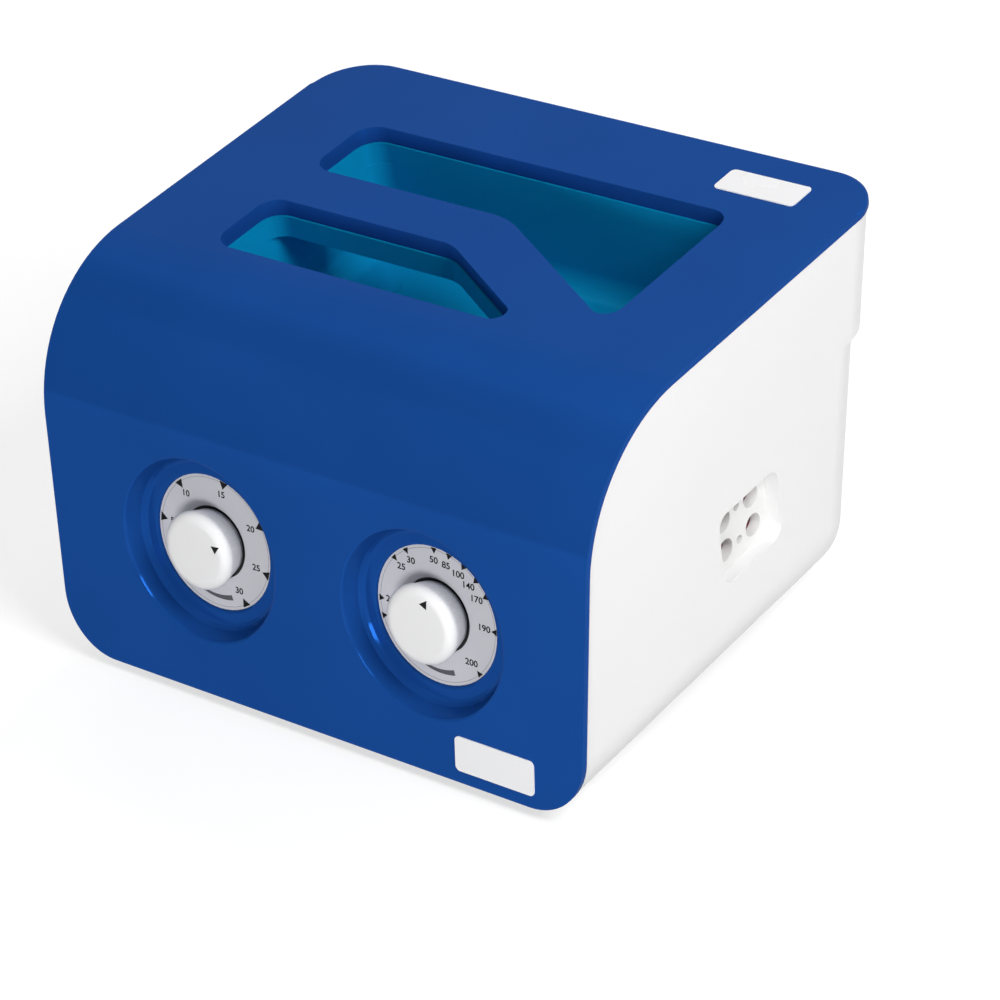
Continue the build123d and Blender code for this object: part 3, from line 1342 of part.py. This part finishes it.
WIRE_RADIUS = 0.9
block_left = board_x - 26
block_front = board_y - 4.5
wire_level = BOARD_TOP + 5
wire_routes = []
for side in (-1, 1):
    # from the inlet's pins to the terminal block's left end
    wire_routes.append(
        [
            INLET.from_local_coords((side * PIN_PITCH / 2, 0, -22.6)),
            INLET.from_local_coords((side * PIN_PITCH / 2, 0, -34)),
            (block_left - 20, board_y + 2 * side, wire_level),
            (block_left - 0.1, board_y + 2 * side, wire_level),
        ]
    )
    # to the pump's coils
    wire_routes.append(
        [
            (board_x - 20 + 2 * side, block_front - 0.1, wire_level),
            (board_x - 20 + 2 * side, block_front - 5, wire_level),
            (PUMP_X + 30 + 2 * side, PUMP_Y + PUMP_HALF_DEPTH + 5, PUMP_Z - 12),
            (PUMP_X + 30 + 2 * side, PUMP_Y + PUMP_HALF_DEPTH + 0.1, PUMP_Z - 12),
        ]
    )
    # under the pump to the timer's terminals
    terminal = (side * 8, -14)
    wire_routes.append(
        [
            (board_x - 10 + 2 * side, block_front - 0.1, wire_level),
            (board_x - 10 + 2 * side, block_front - 5, wire_level),
            (tee_x + 2 * side, block_front - 24, RAISED_FLOOR + 3),
            (tee_x + 2 * side, PUMP_Y - 34 - 3 * side, RAISED_FLOOR + 3),
            timer_dial.from_local_coords((*terminal, CASE_BACK - 22)),
            timer_dial.from_local_coords((*terminal, CASE_BACK - 10.1)),
        ]
    )
    # to the valve's motor
    wire_routes.append(
        [
            (board_x + 2 * side, block_front - 0.1, wire_level),
            (board_x + 2 * side, block_front - 5, wire_level),
            (VALVE_X - 4 + 2 * side, VALVE_Y + MOTOR_RADIUS + 5, MOTOR_TOP - 8),
            (VALVE_X - 4 + 2 * side, VALVE_Y + MOTOR_RADIUS + 0.1, MOTOR_TOP - 8),
        ]
    )
tubing("wiring", wire_routes, WIRE_RADIUS, 0)

# ================================================================ screws inside the casing
bracket_planes = [
    facing_in(dial, x * BRACKET_PITCH / 2, y * BRACKET_PITCH / 2, BRACKET_BACK)
    for dial in (timer_dial, pressure_dial)
    for x in (-1, 1)
    for y in (-1, 1)
]
screw("bracket_screws", bracket_planes, 7, 2.8)
chassis_planes = [facing_in(PORT, side * BLOCK_SCREW_PITCH / 2, 0, BLOCK_BACK) for side in (-1, 1)]
chassis_planes += [Plane((VALVE_X + x, VALVE_Y + y, VALVE_BRACKET_TOP)) for x, y in VALVE_POSTS]
chassis_planes += [
    Plane((board_x + x * BOARD_POSTS[0] / 2, board_y + y * BOARD_POSTS[1] / 2, BOARD_TOP))
    for x in (-1, 1)
    for y in (-1, 1)
]
screw("chassis_screws", chassis_planes, 6.5, 2.8)
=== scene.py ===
"""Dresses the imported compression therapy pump: materials, dial scales, knobs, light and camera.

Metres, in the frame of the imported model: X right, Y back, Z up, dials facing -Y. The sizes of print
and knobs are in millimetres, and MM turns them into metres where they are used.
"""

import json
import math

import bmesh
import bpy
from mathutils import Matrix, Vector

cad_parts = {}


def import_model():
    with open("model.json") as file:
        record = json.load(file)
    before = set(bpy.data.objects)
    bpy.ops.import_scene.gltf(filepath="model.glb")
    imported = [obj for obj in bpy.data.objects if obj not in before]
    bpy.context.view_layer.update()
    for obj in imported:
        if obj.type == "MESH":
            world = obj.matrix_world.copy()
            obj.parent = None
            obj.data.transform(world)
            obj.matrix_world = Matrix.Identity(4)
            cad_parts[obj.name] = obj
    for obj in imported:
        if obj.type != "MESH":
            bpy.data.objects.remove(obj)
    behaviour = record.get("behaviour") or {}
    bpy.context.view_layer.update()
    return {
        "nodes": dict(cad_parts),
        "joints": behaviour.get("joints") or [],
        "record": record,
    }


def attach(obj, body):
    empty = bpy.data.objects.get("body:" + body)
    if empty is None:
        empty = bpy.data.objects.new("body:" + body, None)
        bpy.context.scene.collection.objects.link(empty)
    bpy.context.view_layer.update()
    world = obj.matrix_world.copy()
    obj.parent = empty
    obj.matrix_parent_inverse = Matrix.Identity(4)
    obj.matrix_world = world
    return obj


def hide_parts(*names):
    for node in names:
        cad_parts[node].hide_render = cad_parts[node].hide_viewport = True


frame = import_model()
MM = 0.001


# ---------------------------------------------------------------- places taken from the frame
def joint(name):
    """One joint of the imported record."""
    return next(entry for entry in frame["joints"] if entry["name"] == name)


def dial_matrix(joint_name):
    """Frame of a dial: origin on the panel's face, X right, Y up the panel, Z out of the panel."""
    place = joint(joint_name)
    out = Vector(place["axis"]).normalized()
    across = Vector((1, 0, 0))
    matrix = Matrix((across, out.cross(across), out)).transposed().to_4x4()
    matrix.translation = Vector(place["pos_m"])
    return matrix


TIMER = dial_matrix("timer_turn")
PRESSURE = dial_matrix("pressure_turn")
DIAL_FACE = -9.2 * MM  # face of the dial plates, on the dial's own Z


# ---------------------------------------------------------------- materials
# Scales of the noise, in waves a metre
FLOW_SCALE = 14
MOTTLE_SCALE = 30
SMUDGE_SCALE = 38
WAVE_SCALE = 160
BRUSH_SCALE = 180
INK_COVER_SCALE = 1400
SKIN_SCALE = 2600
INK_GRAIN_SCALE = 3000
BRUSH_STRETCH = (1, 40, 1)


class Nodes:
    """Small helper that adds and links shader nodes."""

    def __init__(self, name):
        self.material = bpy.data.materials.new(name)
        self.material.use_nodes = True
        self.tree = self.material.node_tree
        self.shader = self.tree.nodes["Principled BSDF"]

    def add(self, kind, **inputs):
        node = self.tree.nodes.new(kind)
        for key, value in inputs.items():
            node.inputs[key.replace("_", " ")].default_value = value
        return node

    def link(self, source, target):
        self.tree.links.new(source, target)

    def noise(self, scale, detail=3.0, roughness=0.55):
        """Noise that sits still on the object, in metres."""
        place = self.add("ShaderNodeTexCoord")
        noise = self.add("ShaderNodeTexNoise", Scale=scale, Detail=detail, Roughness=roughness)
        self.link(place.outputs["Object"], noise.inputs["Vector"])
        return noise.outputs["Fac"]

    def spread(self, source, low, high, from_low=0.3, from_high=0.7):
        """A factor spread over a range of values."""
        spread = self.add("ShaderNodeMapRange")
        spread.inputs["From Min"].default_value = from_low
        spread.inputs["From Max"].default_value = from_high
        spread.inputs["To Min"].default_value = low
        spread.inputs["To Max"].default_value = high
        self.link(source, spread.inputs["Value"])
        return spread.outputs["Result"]

    def mixed(self, factor, first, second):
        """A colour between two colours."""
        mix = self.tree.nodes.new("ShaderNodeMix")
        mix.data_type = "RGBA"
        mix.inputs["A"].default_value = (*first, 1)
        mix.inputs["B"].default_value = (*second, 1)
        self.link(factor, mix.inputs["Factor"])
        return mix.outputs["Result"]

    def bump(self, *layers):
        """Bump from (height source, strength, distance in mm) layers, coarse ones first."""
        normal = None
        for source, strength, distance in layers:
            bump = self.add("ShaderNodeBump", Strength=strength, Distance=distance * MM)
            self.link(source, bump.inputs["Height"])
            if normal:
                self.link(normal, bump.inputs["Normal"])
            normal = bump.outputs["Normal"]
        self.link(normal, self.shader.inputs["Normal"])


def shade(colour, factor):
    """A colour made lighter or darker."""
    return tuple(min(1.0, channel * factor) for channel in colour)


def moulded(name, colour, roughness, specular=0.5, metallic=0.0, grain=0.02, variation=0.04):
    """Moulded plastic: slight flow marks in the colour, a worn sheen and a fine skin."""
    nodes = Nodes(name)
    flow = nodes.spread(nodes.noise(FLOW_SCALE, 2), 0, 1)
    nodes.link(nodes.mixed(flow, shade(colour, 1 - variation), shade(colour, 1 + variation)),
               nodes.shader.inputs["Base Color"])
    smudge = nodes.spread(nodes.noise(SMUDGE_SCALE, 4), roughness * 0.85, roughness * 1.2)
    nodes.link(smudge, nodes.shader.inputs["Roughness"])
    nodes.shader.inputs["Specular IOR Level"].default_value = specular
    nodes.shader.inputs["Metallic"].default_value = metallic
    nodes.bump((nodes.noise(WAVE_SCALE, 1), grain, 0.05), (nodes.noise(SKIN_SCALE, 2), grain, 0.02))
    return nodes.material


def metal(name, colour, roughness, brushed=True):
    """Metal with uneven sheen, drawn out into fine lines where it is brushed."""
    nodes = Nodes(name)
    place = nodes.add("ShaderNodeTexCoord")
    stretch = nodes.add("ShaderNodeMapping")
    stretch.inputs["Scale"].default_value = BRUSH_STRETCH if brushed else (1, 1, 1)
    nodes.link(place.outputs["Object"], stretch.inputs["Vector"])
    lines = nodes.add("ShaderNodeTexNoise", Scale=BRUSH_SCALE, Detail=4)
    nodes.link(stretch.outputs["Vector"], lines.inputs["Vector"])
    tint = nodes.mixed(lines.outputs["Fac"], shade(colour, 0.85), shade(colour, 1.1))
    nodes.link(tint, nodes.shader.inputs["Base Color"])
    nodes.link(nodes.spread(lines.outputs["Fac"], roughness * 0.8, roughness * 1.3),
               nodes.shader.inputs["Roughness"])
    nodes.shader.inputs["Metallic"].default_value = 1
    nodes.bump((lines.outputs["Fac"], 0.08, 0.03))
    return nodes.material


def ink(name, colour):
    """Printing ink: matt, with slightly uneven cover."""
    nodes = Nodes(name)
    cover = nodes.spread(nodes.noise(INK_COVER_SCALE, 3), 0, 1)
    nodes.link(nodes.mixed(cover, colour, shade(colour, 1.6)), nodes.shader.inputs["Base Color"])
    nodes.shader.inputs["Roughness"].default_value = 0.7
    nodes.shader.inputs["Specular IOR Level"].default_value = 0.15
    nodes.bump((nodes.noise(INK_GRAIN_SCALE, 1), 0.05, 0.01))
    return nodes.material


MATERIALS = {
    # A metallic share in place of the specular, so that the gloss of the blue is blue as in the photo
    "cover_blue": moulded(
        "blue gloss", (0.008, 0.060, 0.264), 0.09, specular=0.0, metallic=0.18, grain=0.01
    ),
    "housing_white": moulded("white satin", (0.755, 0.75, 0.752), 0.34, specular=0.4, variation=0.008),
    "tray_turquoise": moulded(
        "turquoise gloss", (0.002, 0.27, 0.51), 0.2, specular=0.04, metallic=0.12
    ),
    "knob_grey": moulded("knob light grey", (0.735, 0.735, 0.74), 0.42, specular=0.3, variation=0.01),
    "dial_grey": moulded("dial grey", (0.54, 0.54, 0.575), 0.48, specular=0.2, variation=0.015),
    "label_white": moulded(
        "label film", (0.77, 0.77, 0.78), 0.25, specular=0.25, grain=0.005, variation=0.004
    ),
    "seal_maroon": moulded("seal rubber", (0.11, 0.025, 0.035), 0.5, specular=0.3, grain=0.06),
    # The brackets under the knobs are black so that the gap round each knob looks dark: painted shade
    # carried by their colour.
    "coated_steel": moulded("black coat as gap shade", (0.02, 0.02, 0.021), 0.6, specular=0.3, grain=0.12),
    "rubber_black": moulded("rubber", (0.025, 0.025, 0.026), 0.7, specular=0.3, grain=0.08),
    "black_plastic": moulded("black plastic", (0.03, 0.03, 0.033), 0.45, grain=0.06),
    "white_plastic": moulded("inner white plastic", (0.75, 0.75, 0.745), 0.4, variation=0.01),
    "soft_tube": moulded("silicone tube", (0.70, 0.71, 0.69), 0.35),
    "wire_sleeve": moulded("wire sleeve", (0.30, 0.02, 0.02), 0.4),
    "board_green": moulded("solder mask", (0.02, 0.16, 0.05), 0.3),
    "steel_plate": metal("zinc-plated steel", (0.60, 0.60, 0.61), 0.32),
    "magnet_steel": metal("nickel plate", (0.66, 0.65, 0.62), 0.2, brushed=False),
    "brass_parts": metal("brass", (0.78, 0.57, 0.25), 0.28, brushed=False),
    "cast_alloy": metal("cast alloy", (0.68, 0.68, 0.69), 0.45, brushed=False),
    "iron_core": metal("laminated iron", (0.20, 0.20, 0.21), 0.5),
    "copper_coil": metal("copper wire", (0.72, 0.30, 0.14), 0.35),
}
INK = ink("black ink", (0.003, 0.003, 0.0035))
LINE_INK = ink("grey ink", (0.16, 0.16, 0.18))
ACCENT_INK = ink("soft grey ink", (0.07, 0.07, 0.08))

SLOTS = {part["node"]: part["material_slot"] for part in frame["record"]["subparts"]}
for name, node in frame["nodes"].items():
    node.data.materials.clear()
    node.data.materials.append(MATERIALS[SLOTS[name]])


# ---------------------------------------------------------------- scales printed on the dials
PRINT_THICKNESS = 0.06 * MM
THIN_PRINT = 0.03 * MM
NUMBER_SIZE = 3.45
NUMBER_BOLDNESS = 0.06  # added to every edge of the strokes; much more breaks the small digits
NUMBER_WIDTH = 1.08  # the print is a little wider than the font
NUMBER_SHIFT = (-0.3, 0.3)

# Numbers with the angle of their marks, anticlockwise from the dial's right
TIMER_MARKS = [("5", 172), ("10", 128.5), ("15", 77), ("20", 28.5), ("25", -15.6), ("30", -58.5)]
PRESSURE_MARKS = [
    ("10", 196),
    ("20", 180.5),
    ("25", 136.6),
    ("30", 121),
    ("50", 91.3),
    ("85", 76.3),
    ("100", 61),
    ("140", 46.1),
    ("170", 31.1),
    ("190", 1.2),
    ("200", -45),
]
# Name, place, marks, the ticks' inner radius and half width, and the numbers' radius
DIALS = [
    ("timer", TIMER, TIMER_MARKS, 22.8, 1.9, 20.2),
    ("pressure", PRESSURE, PRESSURE_MARKS, 23.7, 1.3, 20.8),
]
TICK_OUTER = 26.0
LINE_INNER = 25.25
LINE_OUTER = 25.4
WEDGE_FROM = -128
WEDGE_TO = -72
WEDGE_INNER = 21.6
WEDGE_OUTER = 21.9
WEDGE_GROWTH = 0.9  # how far each of its two edges moves apart along the arc


def piece(name, mesh, material, body):
    """A new piece of the object that rides on a body."""
    obj = bpy.data.objects.new(name, mesh)
    bpy.context.scene.collection.objects.link(obj)
    obj.data.materials.append(material)
    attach(obj, body)
    return obj


def printed(name, outlines, matrix, height, material, body, thickness=PRINT_THICKNESS):
    """Printed shapes: outlines in mm round a dial's axis, raised by an ink's thickness.

    The height is one number, or a function of the radius that the print then follows.
    """
    shapes = bmesh.new()
    for outline in outlines:
        shapes.faces.new([shapes.verts.new((x * MM, y * MM, 0)) for x, y in outline])
    if callable(height):
        bmesh.ops.subdivide_edges(shapes, edges=shapes.edges, cuts=5, use_grid_fill=True)
        bmesh.ops.triangulate(shapes, faces=shapes.faces)
    for corner in shapes.verts:
        corner.co.z = height(corner.co.xy.length) if callable(height) else height
    raised = bmesh.ops.extrude_face_region(shapes, geom=shapes.faces[:])
    tops = [item for item in raised["geom"] if isinstance(item, bmesh.types.BMVert)]
    bmesh.ops.translate(shapes, verts=tops, vec=(0, 0, thickness))
    bmesh.ops.recalc_face_normals(shapes, faces=shapes.faces)
    bmesh.ops.transform(shapes, matrix=matrix, verts=shapes.verts)
    mesh = bpy.data.meshes.new(name)
    shapes.to_mesh(mesh)
    shapes.free()
    piece(name, mesh, material, body)


def polar(radius, degrees):
    """A point in mm from polar coordinates."""
    angle = math.radians(degrees)
    return radius * math.cos(angle), radius * math.sin(angle)


def tick(degrees, outer, inner, half_width):
    """A triangle at the dial's rim that points to the middle, in mm."""
    half = math.degrees(half_width / outer)
    return [polar(outer, degrees - half), polar(outer, degrees + half), polar(inner, degrees)]


def arc_band(start, end, inner, outer, steps=48):
    """A band along an arc: each radius is a function of the share of the arc."""
    angles = [start + (end - start) * step / steps for step in range(steps + 1)]
    inside = [polar(inner(step / steps), angle) for step, angle in enumerate(angles)]
    outside = [polar(outer(step / steps), angle) for step, angle in enumerate(angles)]
    return inside + outside[::-1]


def numbers(name, marks, matrix, radius):
    """Upright numbers round a dial, joined into one raised piece of print."""
    joined = bmesh.new()
    for text, degrees in marks:
        curve = bpy.data.curves.new(name, "FONT")
        curve.body = text
        curve.size = NUMBER_SIZE * MM
        curve.align_x = "CENTER"
        curve.align_y = "CENTER"
        curve.extrude = THIN_PRINT
        curve.offset = NUMBER_BOLDNESS * MM
        label = bpy.data.objects.new(name, curve)
        bpy.context.scene.collection.objects.link(label)
        bpy.context.view_layer.update()
        mesh = bpy.data.meshes.new_from_object(label)
        x, y = polar(radius, degrees)
        shift_x, shift_y = NUMBER_SHIFT
        place = Matrix.Translation(((x + shift_x) * MM, (y + shift_y) * MM, DIAL_FACE + THIN_PRINT))
        mesh.transform(matrix @ place @ Matrix.Diagonal((NUMBER_WIDTH, 1, 1, 1)))
        joined.from_mesh(mesh)
        bpy.data.objects.remove(label)
    mesh = bpy.data.meshes.new(name)
    joined.to_mesh(mesh)
    joined.free()
    piece(name, mesh, INK, "casing")


def wedge_inner(share):
    """Inner radius of the tapered arc that takes the place of the words."""
    return WEDGE_INNER - WEDGE_GROWTH * share


def wedge_outer(share):
    """Outer radius of the tapered arc."""
    return WEDGE_OUTER + WEDGE_GROWTH * share


for word, matrix, marks, tick_inner, tick_half_width, _ in DIALS:
    ticks = [tick(angle, TICK_OUTER, tick_inner, tick_half_width) for _, angle in marks]
    printed(f"{word}_ticks", ticks, matrix, DIAL_FACE, INK, "casing")
for word, matrix, marks, *_, number_radius in DIALS:
    numbers(f"{word}_numbers", marks, matrix, number_radius)
for word, matrix, *_ in DIALS:
    line = arc_band(0, 359.9, lambda share: LINE_INNER, lambda share: LINE_OUTER, 160)
    printed(f"{word}_scale_line", [line], matrix, DIAL_FACE, LINE_INK, "casing", THIN_PRINT)
    wedge = arc_band(WEDGE_FROM, WEDGE_TO, wedge_inner, wedge_outer)
    printed(f"{word}_wedge", [wedge], matrix, DIAL_FACE, ACCENT_INK, "casing", THIN_PRINT)


# ---------------------------------------------------------------- knobs with fine grip ribs
RIBS = 90
STEPS_PER_RIB = 6
RIB_DEPTH = 0.1
FACE_HEIGHT = 2.2
FLAT_RADIUS = 11.2
TOP_RADIUS = 15.2
ROUND_DROP = 3.3
FACE_CENTRE_RADIUS = 5.0
SHARP_ANGLE = 50

# Radius and height in mm with the share of the ribs' depth: out of the hollow foot and up the side
KNOB_SIDE = [
    (9.5, -4.0, 0),
    (9.5, -9.9, 0),
    (12.5, -9.9, 0),
    (12.85, -9.6, 0.4),
    (13.5, -7.0, 1),
    (14.2, -4.2, 1),
    (14.85, -2.4, 0.9),
]


def face_height(radius):
    """Height in metres of a knob's face: flat in the middle, then an elliptic round-over."""
    across = max(0.0, (radius / MM - FLAT_RADIUS) / (TOP_RADIUS - FLAT_RADIUS))
    return (FACE_HEIGHT - ROUND_DROP * (1 - math.sqrt(1 - across * across))) * MM


def knob_section():
    """The side, then the round-over, along which the ribs fade out, then the flat face."""
    section = list(KNOB_SIDE)
    for degrees in range(90, -1, -9):
        turn = math.radians(degrees)
        radius = FLAT_RADIUS + (TOP_RADIUS - FLAT_RADIUS) * math.sin(turn)
        height = FACE_HEIGHT - ROUND_DROP * (1 - math.cos(turn))
        section.append((radius, height, 0.7 * max(0.0, math.sin(turn) * 4 - 3)))
    section.append((FACE_CENTRE_RADIUS, FACE_HEIGHT, 0))
    return section


def ribbed_knob(name, matrix, body, node):
    """The knob turned as a lathe section, with shallow ribs pressed into its side."""
    around = RIBS * STEPS_PER_RIB
    lathe = bmesh.new()
    rings = []
    for radius, height, share in knob_section():
        ring = []
        for step in range(around):
            angle = 2 * math.pi * step / around
            dip = RIB_DEPTH * share * (0.5 - 0.5 * math.cos(RIBS * angle))
            reach = (radius - dip) * MM
            ring.append(lathe.verts.new((reach * math.cos(angle), reach * math.sin(angle), height * MM)))
        rings.append(ring)
    for below, above in zip(rings, rings[1:]):
        for step in range(around):
            after = (step + 1) % around
            lathe.faces.new((below[step], below[after], above[after], above[step]))
    lathe.faces.new(rings[-1])
    lathe.faces.new(rings[0][::-1])
    bmesh.ops.recalc_face_normals(lathe, faces=lathe.faces)
    bmesh.ops.transform(lathe, matrix=matrix, verts=lathe.verts)
    mesh = bpy.data.meshes.new(name)
    lathe.to_mesh(mesh)
    lathe.free()
    mesh.shade_smooth()
    mesh.set_sharp_from_angle(angle=math.radians(SHARP_ANGLE))
    knob = piece(name, mesh, MATERIALS["knob_grey"], body)
    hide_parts(node)


ribbed_knob("timer_knob_ribbed", TIMER, "timer_control", "timer_knob")
ribbed_knob("pressure_knob_ribbed", PRESSURE, "pressure_control", "pressure_knob")
printed(
    "timer_marker", [[(8.2, 5.2), (9.9, 2.4), (11.8, 5.4)]],
    TIMER, face_height, INK, "timer_control",
)
printed(
    "pressure_marker", [[(4.6, 11.6), (1.3, 9.5), (4.4, 8.0)]],
    PRESSURE, face_height, INK, "pressure_control",
)


# ---------------------------------------------------------------- stage, light and camera
FLOOR_NEAR = 0.4  # the floor's glow grows from this distance from the object's middle
FLOOR_FAR = 1.8  # to this one
LAMP_AIM = (0, 0, 0.07)
# Name, direction, distance, width and height in metres, power in watts. The front lamp stays narrow:
# a wider one glares on the bend when it is seen from behind
LAMPS = [
    ("window", (0.72, -0.08, 0.68), 1.6, 0.6, 0.7, 20),
    ("overhead", (0.0, 0.65, 0.76), 1.6, 0.7, 0.5, 5),
    ("front", (0.34, -0.93, 0.12), 2.0, 0.85, 0.45, 21.5),
    ("rear", (-0.75, 0.75, 0.15), 2.0, 1.2, 0.5, 15),
]
# Share of the wall's height and glow, where 1 is white
WALL_TONES = [(0, 0.27), (0.32, 0.4), (0.42, 0.1), (0.6, 0.3), (1, 0.9)]


def background_rays(tree):
    """1 for the rays that see the background: from the camera, mirrors and glass."""
    path = tree.nodes.new("ShaderNodeLightPath")
    seen = path.outputs["Is Camera Ray"]
    for kind in ("Is Glossy Ray", "Is Transmission Ray"):
        either = tree.nodes.new("ShaderNodeMath")
        either.operation = "MAXIMUM"
        tree.links.new(seen, either.inputs[0])
        tree.links.new(path.outputs[kind], either.inputs[1])
        seen = either.outputs["Value"]
    return seen


def sheet(name, corners, material):
    """A flat stage piece of one face."""
    mesh = bpy.data.meshes.new(name)
    mesh.from_pydata(corners, [], [(0, 1, 2, 3)])
    mesh.materials.append(material)
    flat = bpy.data.objects.new(name, mesh)
    bpy.context.scene.collection.objects.link(flat)
    return flat


def paper(name, grey, glow_near, glow_far):
    """Matt paper that looks white: it glows for background rays, more so far from the object.

    Near the object part of its white is reflected light, so the object's shadow stays.
    """
    nodes = Nodes(name)
    mottle = nodes.spread(nodes.noise(MOTTLE_SCALE, 2), 0, 1)
    nodes.link(nodes.mixed(mottle, (grey * 0.99,) * 3, (grey,) * 3), nodes.shader.inputs["Base Color"])
    nodes.shader.inputs["Roughness"].default_value = 0.9
    nodes.shader.inputs["Specular IOR Level"].default_value = 0.1
    place = nodes.add("ShaderNodeTexCoord")
    reach = nodes.tree.nodes.new("ShaderNodeVectorMath")
    reach.operation = "LENGTH"
    nodes.link(place.outputs["Object"], reach.inputs[0])
    glow = nodes.spread(reach.outputs["Value"], glow_near, glow_far, FLOOR_NEAR, FLOOR_FAR)
    shown = nodes.tree.nodes.new("ShaderNodeMath")
    shown.operation = "MULTIPLY"
    nodes.link(glow, shown.inputs[0])
    nodes.link(background_rays(nodes.tree), shown.inputs[1])
    nodes.shader.inputs["Emission Color"].default_value = (1, 1, 1, 1)
    nodes.link(shown.outputs["Value"], nodes.shader.inputs["Emission Strength"])
    return nodes.material


def floor(reach):
    """A large pale sheet under the object."""
    corners = [(-reach, -reach, 0), (reach, -reach, 0), (reach, reach, 0), (-reach, reach, 0)]
    sheet("floor", corners, paper("floor paper", grey=0.45, glow_near=0.6, glow_far=0.87))


def glowing_paint(name, height, tones):
    """Paint that reflects nothing and glows in tones from the bottom to the top of a height."""
    paint = Nodes(name)
    place = paint.add("ShaderNodeTexCoord")
    split = paint.add("ShaderNodeSeparateXYZ")
    paint.link(place.outputs["Object"], split.inputs["Vector"])
    ramp = paint.tree.nodes.new("ShaderNodeValToRGB")
    for share, glow in tones[1:-1]:
        ramp.color_ramp.elements.new(share).color = (glow, glow, glow, 1)
    for end, (_, glow) in ((0, tones[0]), (-1, tones[-1])):
        ramp.color_ramp.elements[end].color = (glow, glow, glow, 1)
    paint.link(paint.spread(split.outputs["Z"], 0, 1, 0, height), ramp.inputs["Fac"])
    paint.link(ramp.outputs["Color"], paint.shader.inputs["Emission Color"])
    paint.shader.inputs["Emission Strength"].default_value = 1
    paint.shader.inputs["Base Color"].default_value = (0, 0, 0, 1)
    paint.shader.inputs["Specular IOR Level"].default_value = 0
    return paint.material


def far_wall(direction, distance, width, height, tones):
    """The room's far wall, seen in reflections only: a darker band across the glossy bend."""
    half = width / 2
    corners = [(-half, 0, 0), (half, 0, 0), (half, 0, height), (-half, 0, height)]
    wall = sheet("far wall", corners, glowing_paint("far wall", height, tones))
    way = Vector(direction).normalized()
    wall.location = way * distance
    wall.rotation_euler = (0, 0, math.atan2(way.y, way.x) - math.pi / 2)
    wall.visible_camera = False
    wall.visible_diffuse = False
    wall.visible_shadow = False


def lamp(name, direction, distance, width, height, power):
    """A white area lamp that points at the object."""
    light = bpy.data.lights.new(name, "AREA")
    light.shape = "RECTANGLE"
    light.size = width
    light.size_y = height
    light.energy = power
    holder = bpy.data.objects.new(name, light)
    way = Vector(direction).normalized()
    holder.location = Vector(LAMP_AIM) + way * distance
    holder.rotation_euler = way.to_track_quat("Z", "Y").to_euler()
    bpy.context.scene.collection.objects.link(holder)


def camera():
    """The photograph's view: azimuth, elevation, roll, distance and focal length."""
    azimuth = math.radians(42.323)
    elevation = math.radians(33.681)
    roll = math.radians(-9.752)
    distance = 1.44838
    target = Vector((0.06419, -0.05920, 0.09410))
    back = Vector((
        math.sin(azimuth) * math.cos(elevation),
        -math.cos(azimuth) * math.cos(elevation),
        math.sin(elevation),
    ))
    right = Vector((math.cos(azimuth), math.sin(azimuth), 0))
    up = back.cross(right)
    turned_right = right * math.cos(roll) + up * math.sin(roll)
    turned_up = up * math.cos(roll) - right * math.sin(roll)
    matrix = Matrix((turned_right, turned_up, back)).transposed().to_4x4()
    matrix.translation = target + back * distance
    lens = bpy.data.cameras.new("camera")
    lens.lens = 151.133
    lens.sensor_width = 36
    lens.clip_start = 0.01
    holder = bpy.data.objects.new("camera", lens)
    holder.matrix_world = matrix
    bpy.context.scene.collection.objects.link(holder)
    bpy.context.scene.camera = holder


def world(strength):
    """Plain soft light from all round, seen as a white background."""
    sky = bpy.data.worlds.new("studio")
    sky.use_nodes = True
    background = sky.node_tree.nodes["Background"]
    background.inputs["Color"].default_value = (1, 1, 1, 1)
    shown = sky.node_tree.nodes.new("ShaderNodeMapRange")
    shown.inputs["To Min"].default_value = strength
    sky.node_tree.links.new(background_rays(sky.node_tree), shown.inputs["Value"])
    sky.node_tree.links.new(shown.outputs["Result"], background.inputs["Strength"])
    bpy.context.scene.world = sky


floor(reach=6.0)
far_wall(direction=(-0.583, -0.812, 0), distance=3.0, width=18.0, height=10.0, tones=WALL_TONES)
world(strength=0.30)
for lamp_values in LAMPS:
    lamp(*lamp_values)
camera()
bpy.context.scene.view_settings.view_transform = "Standard"
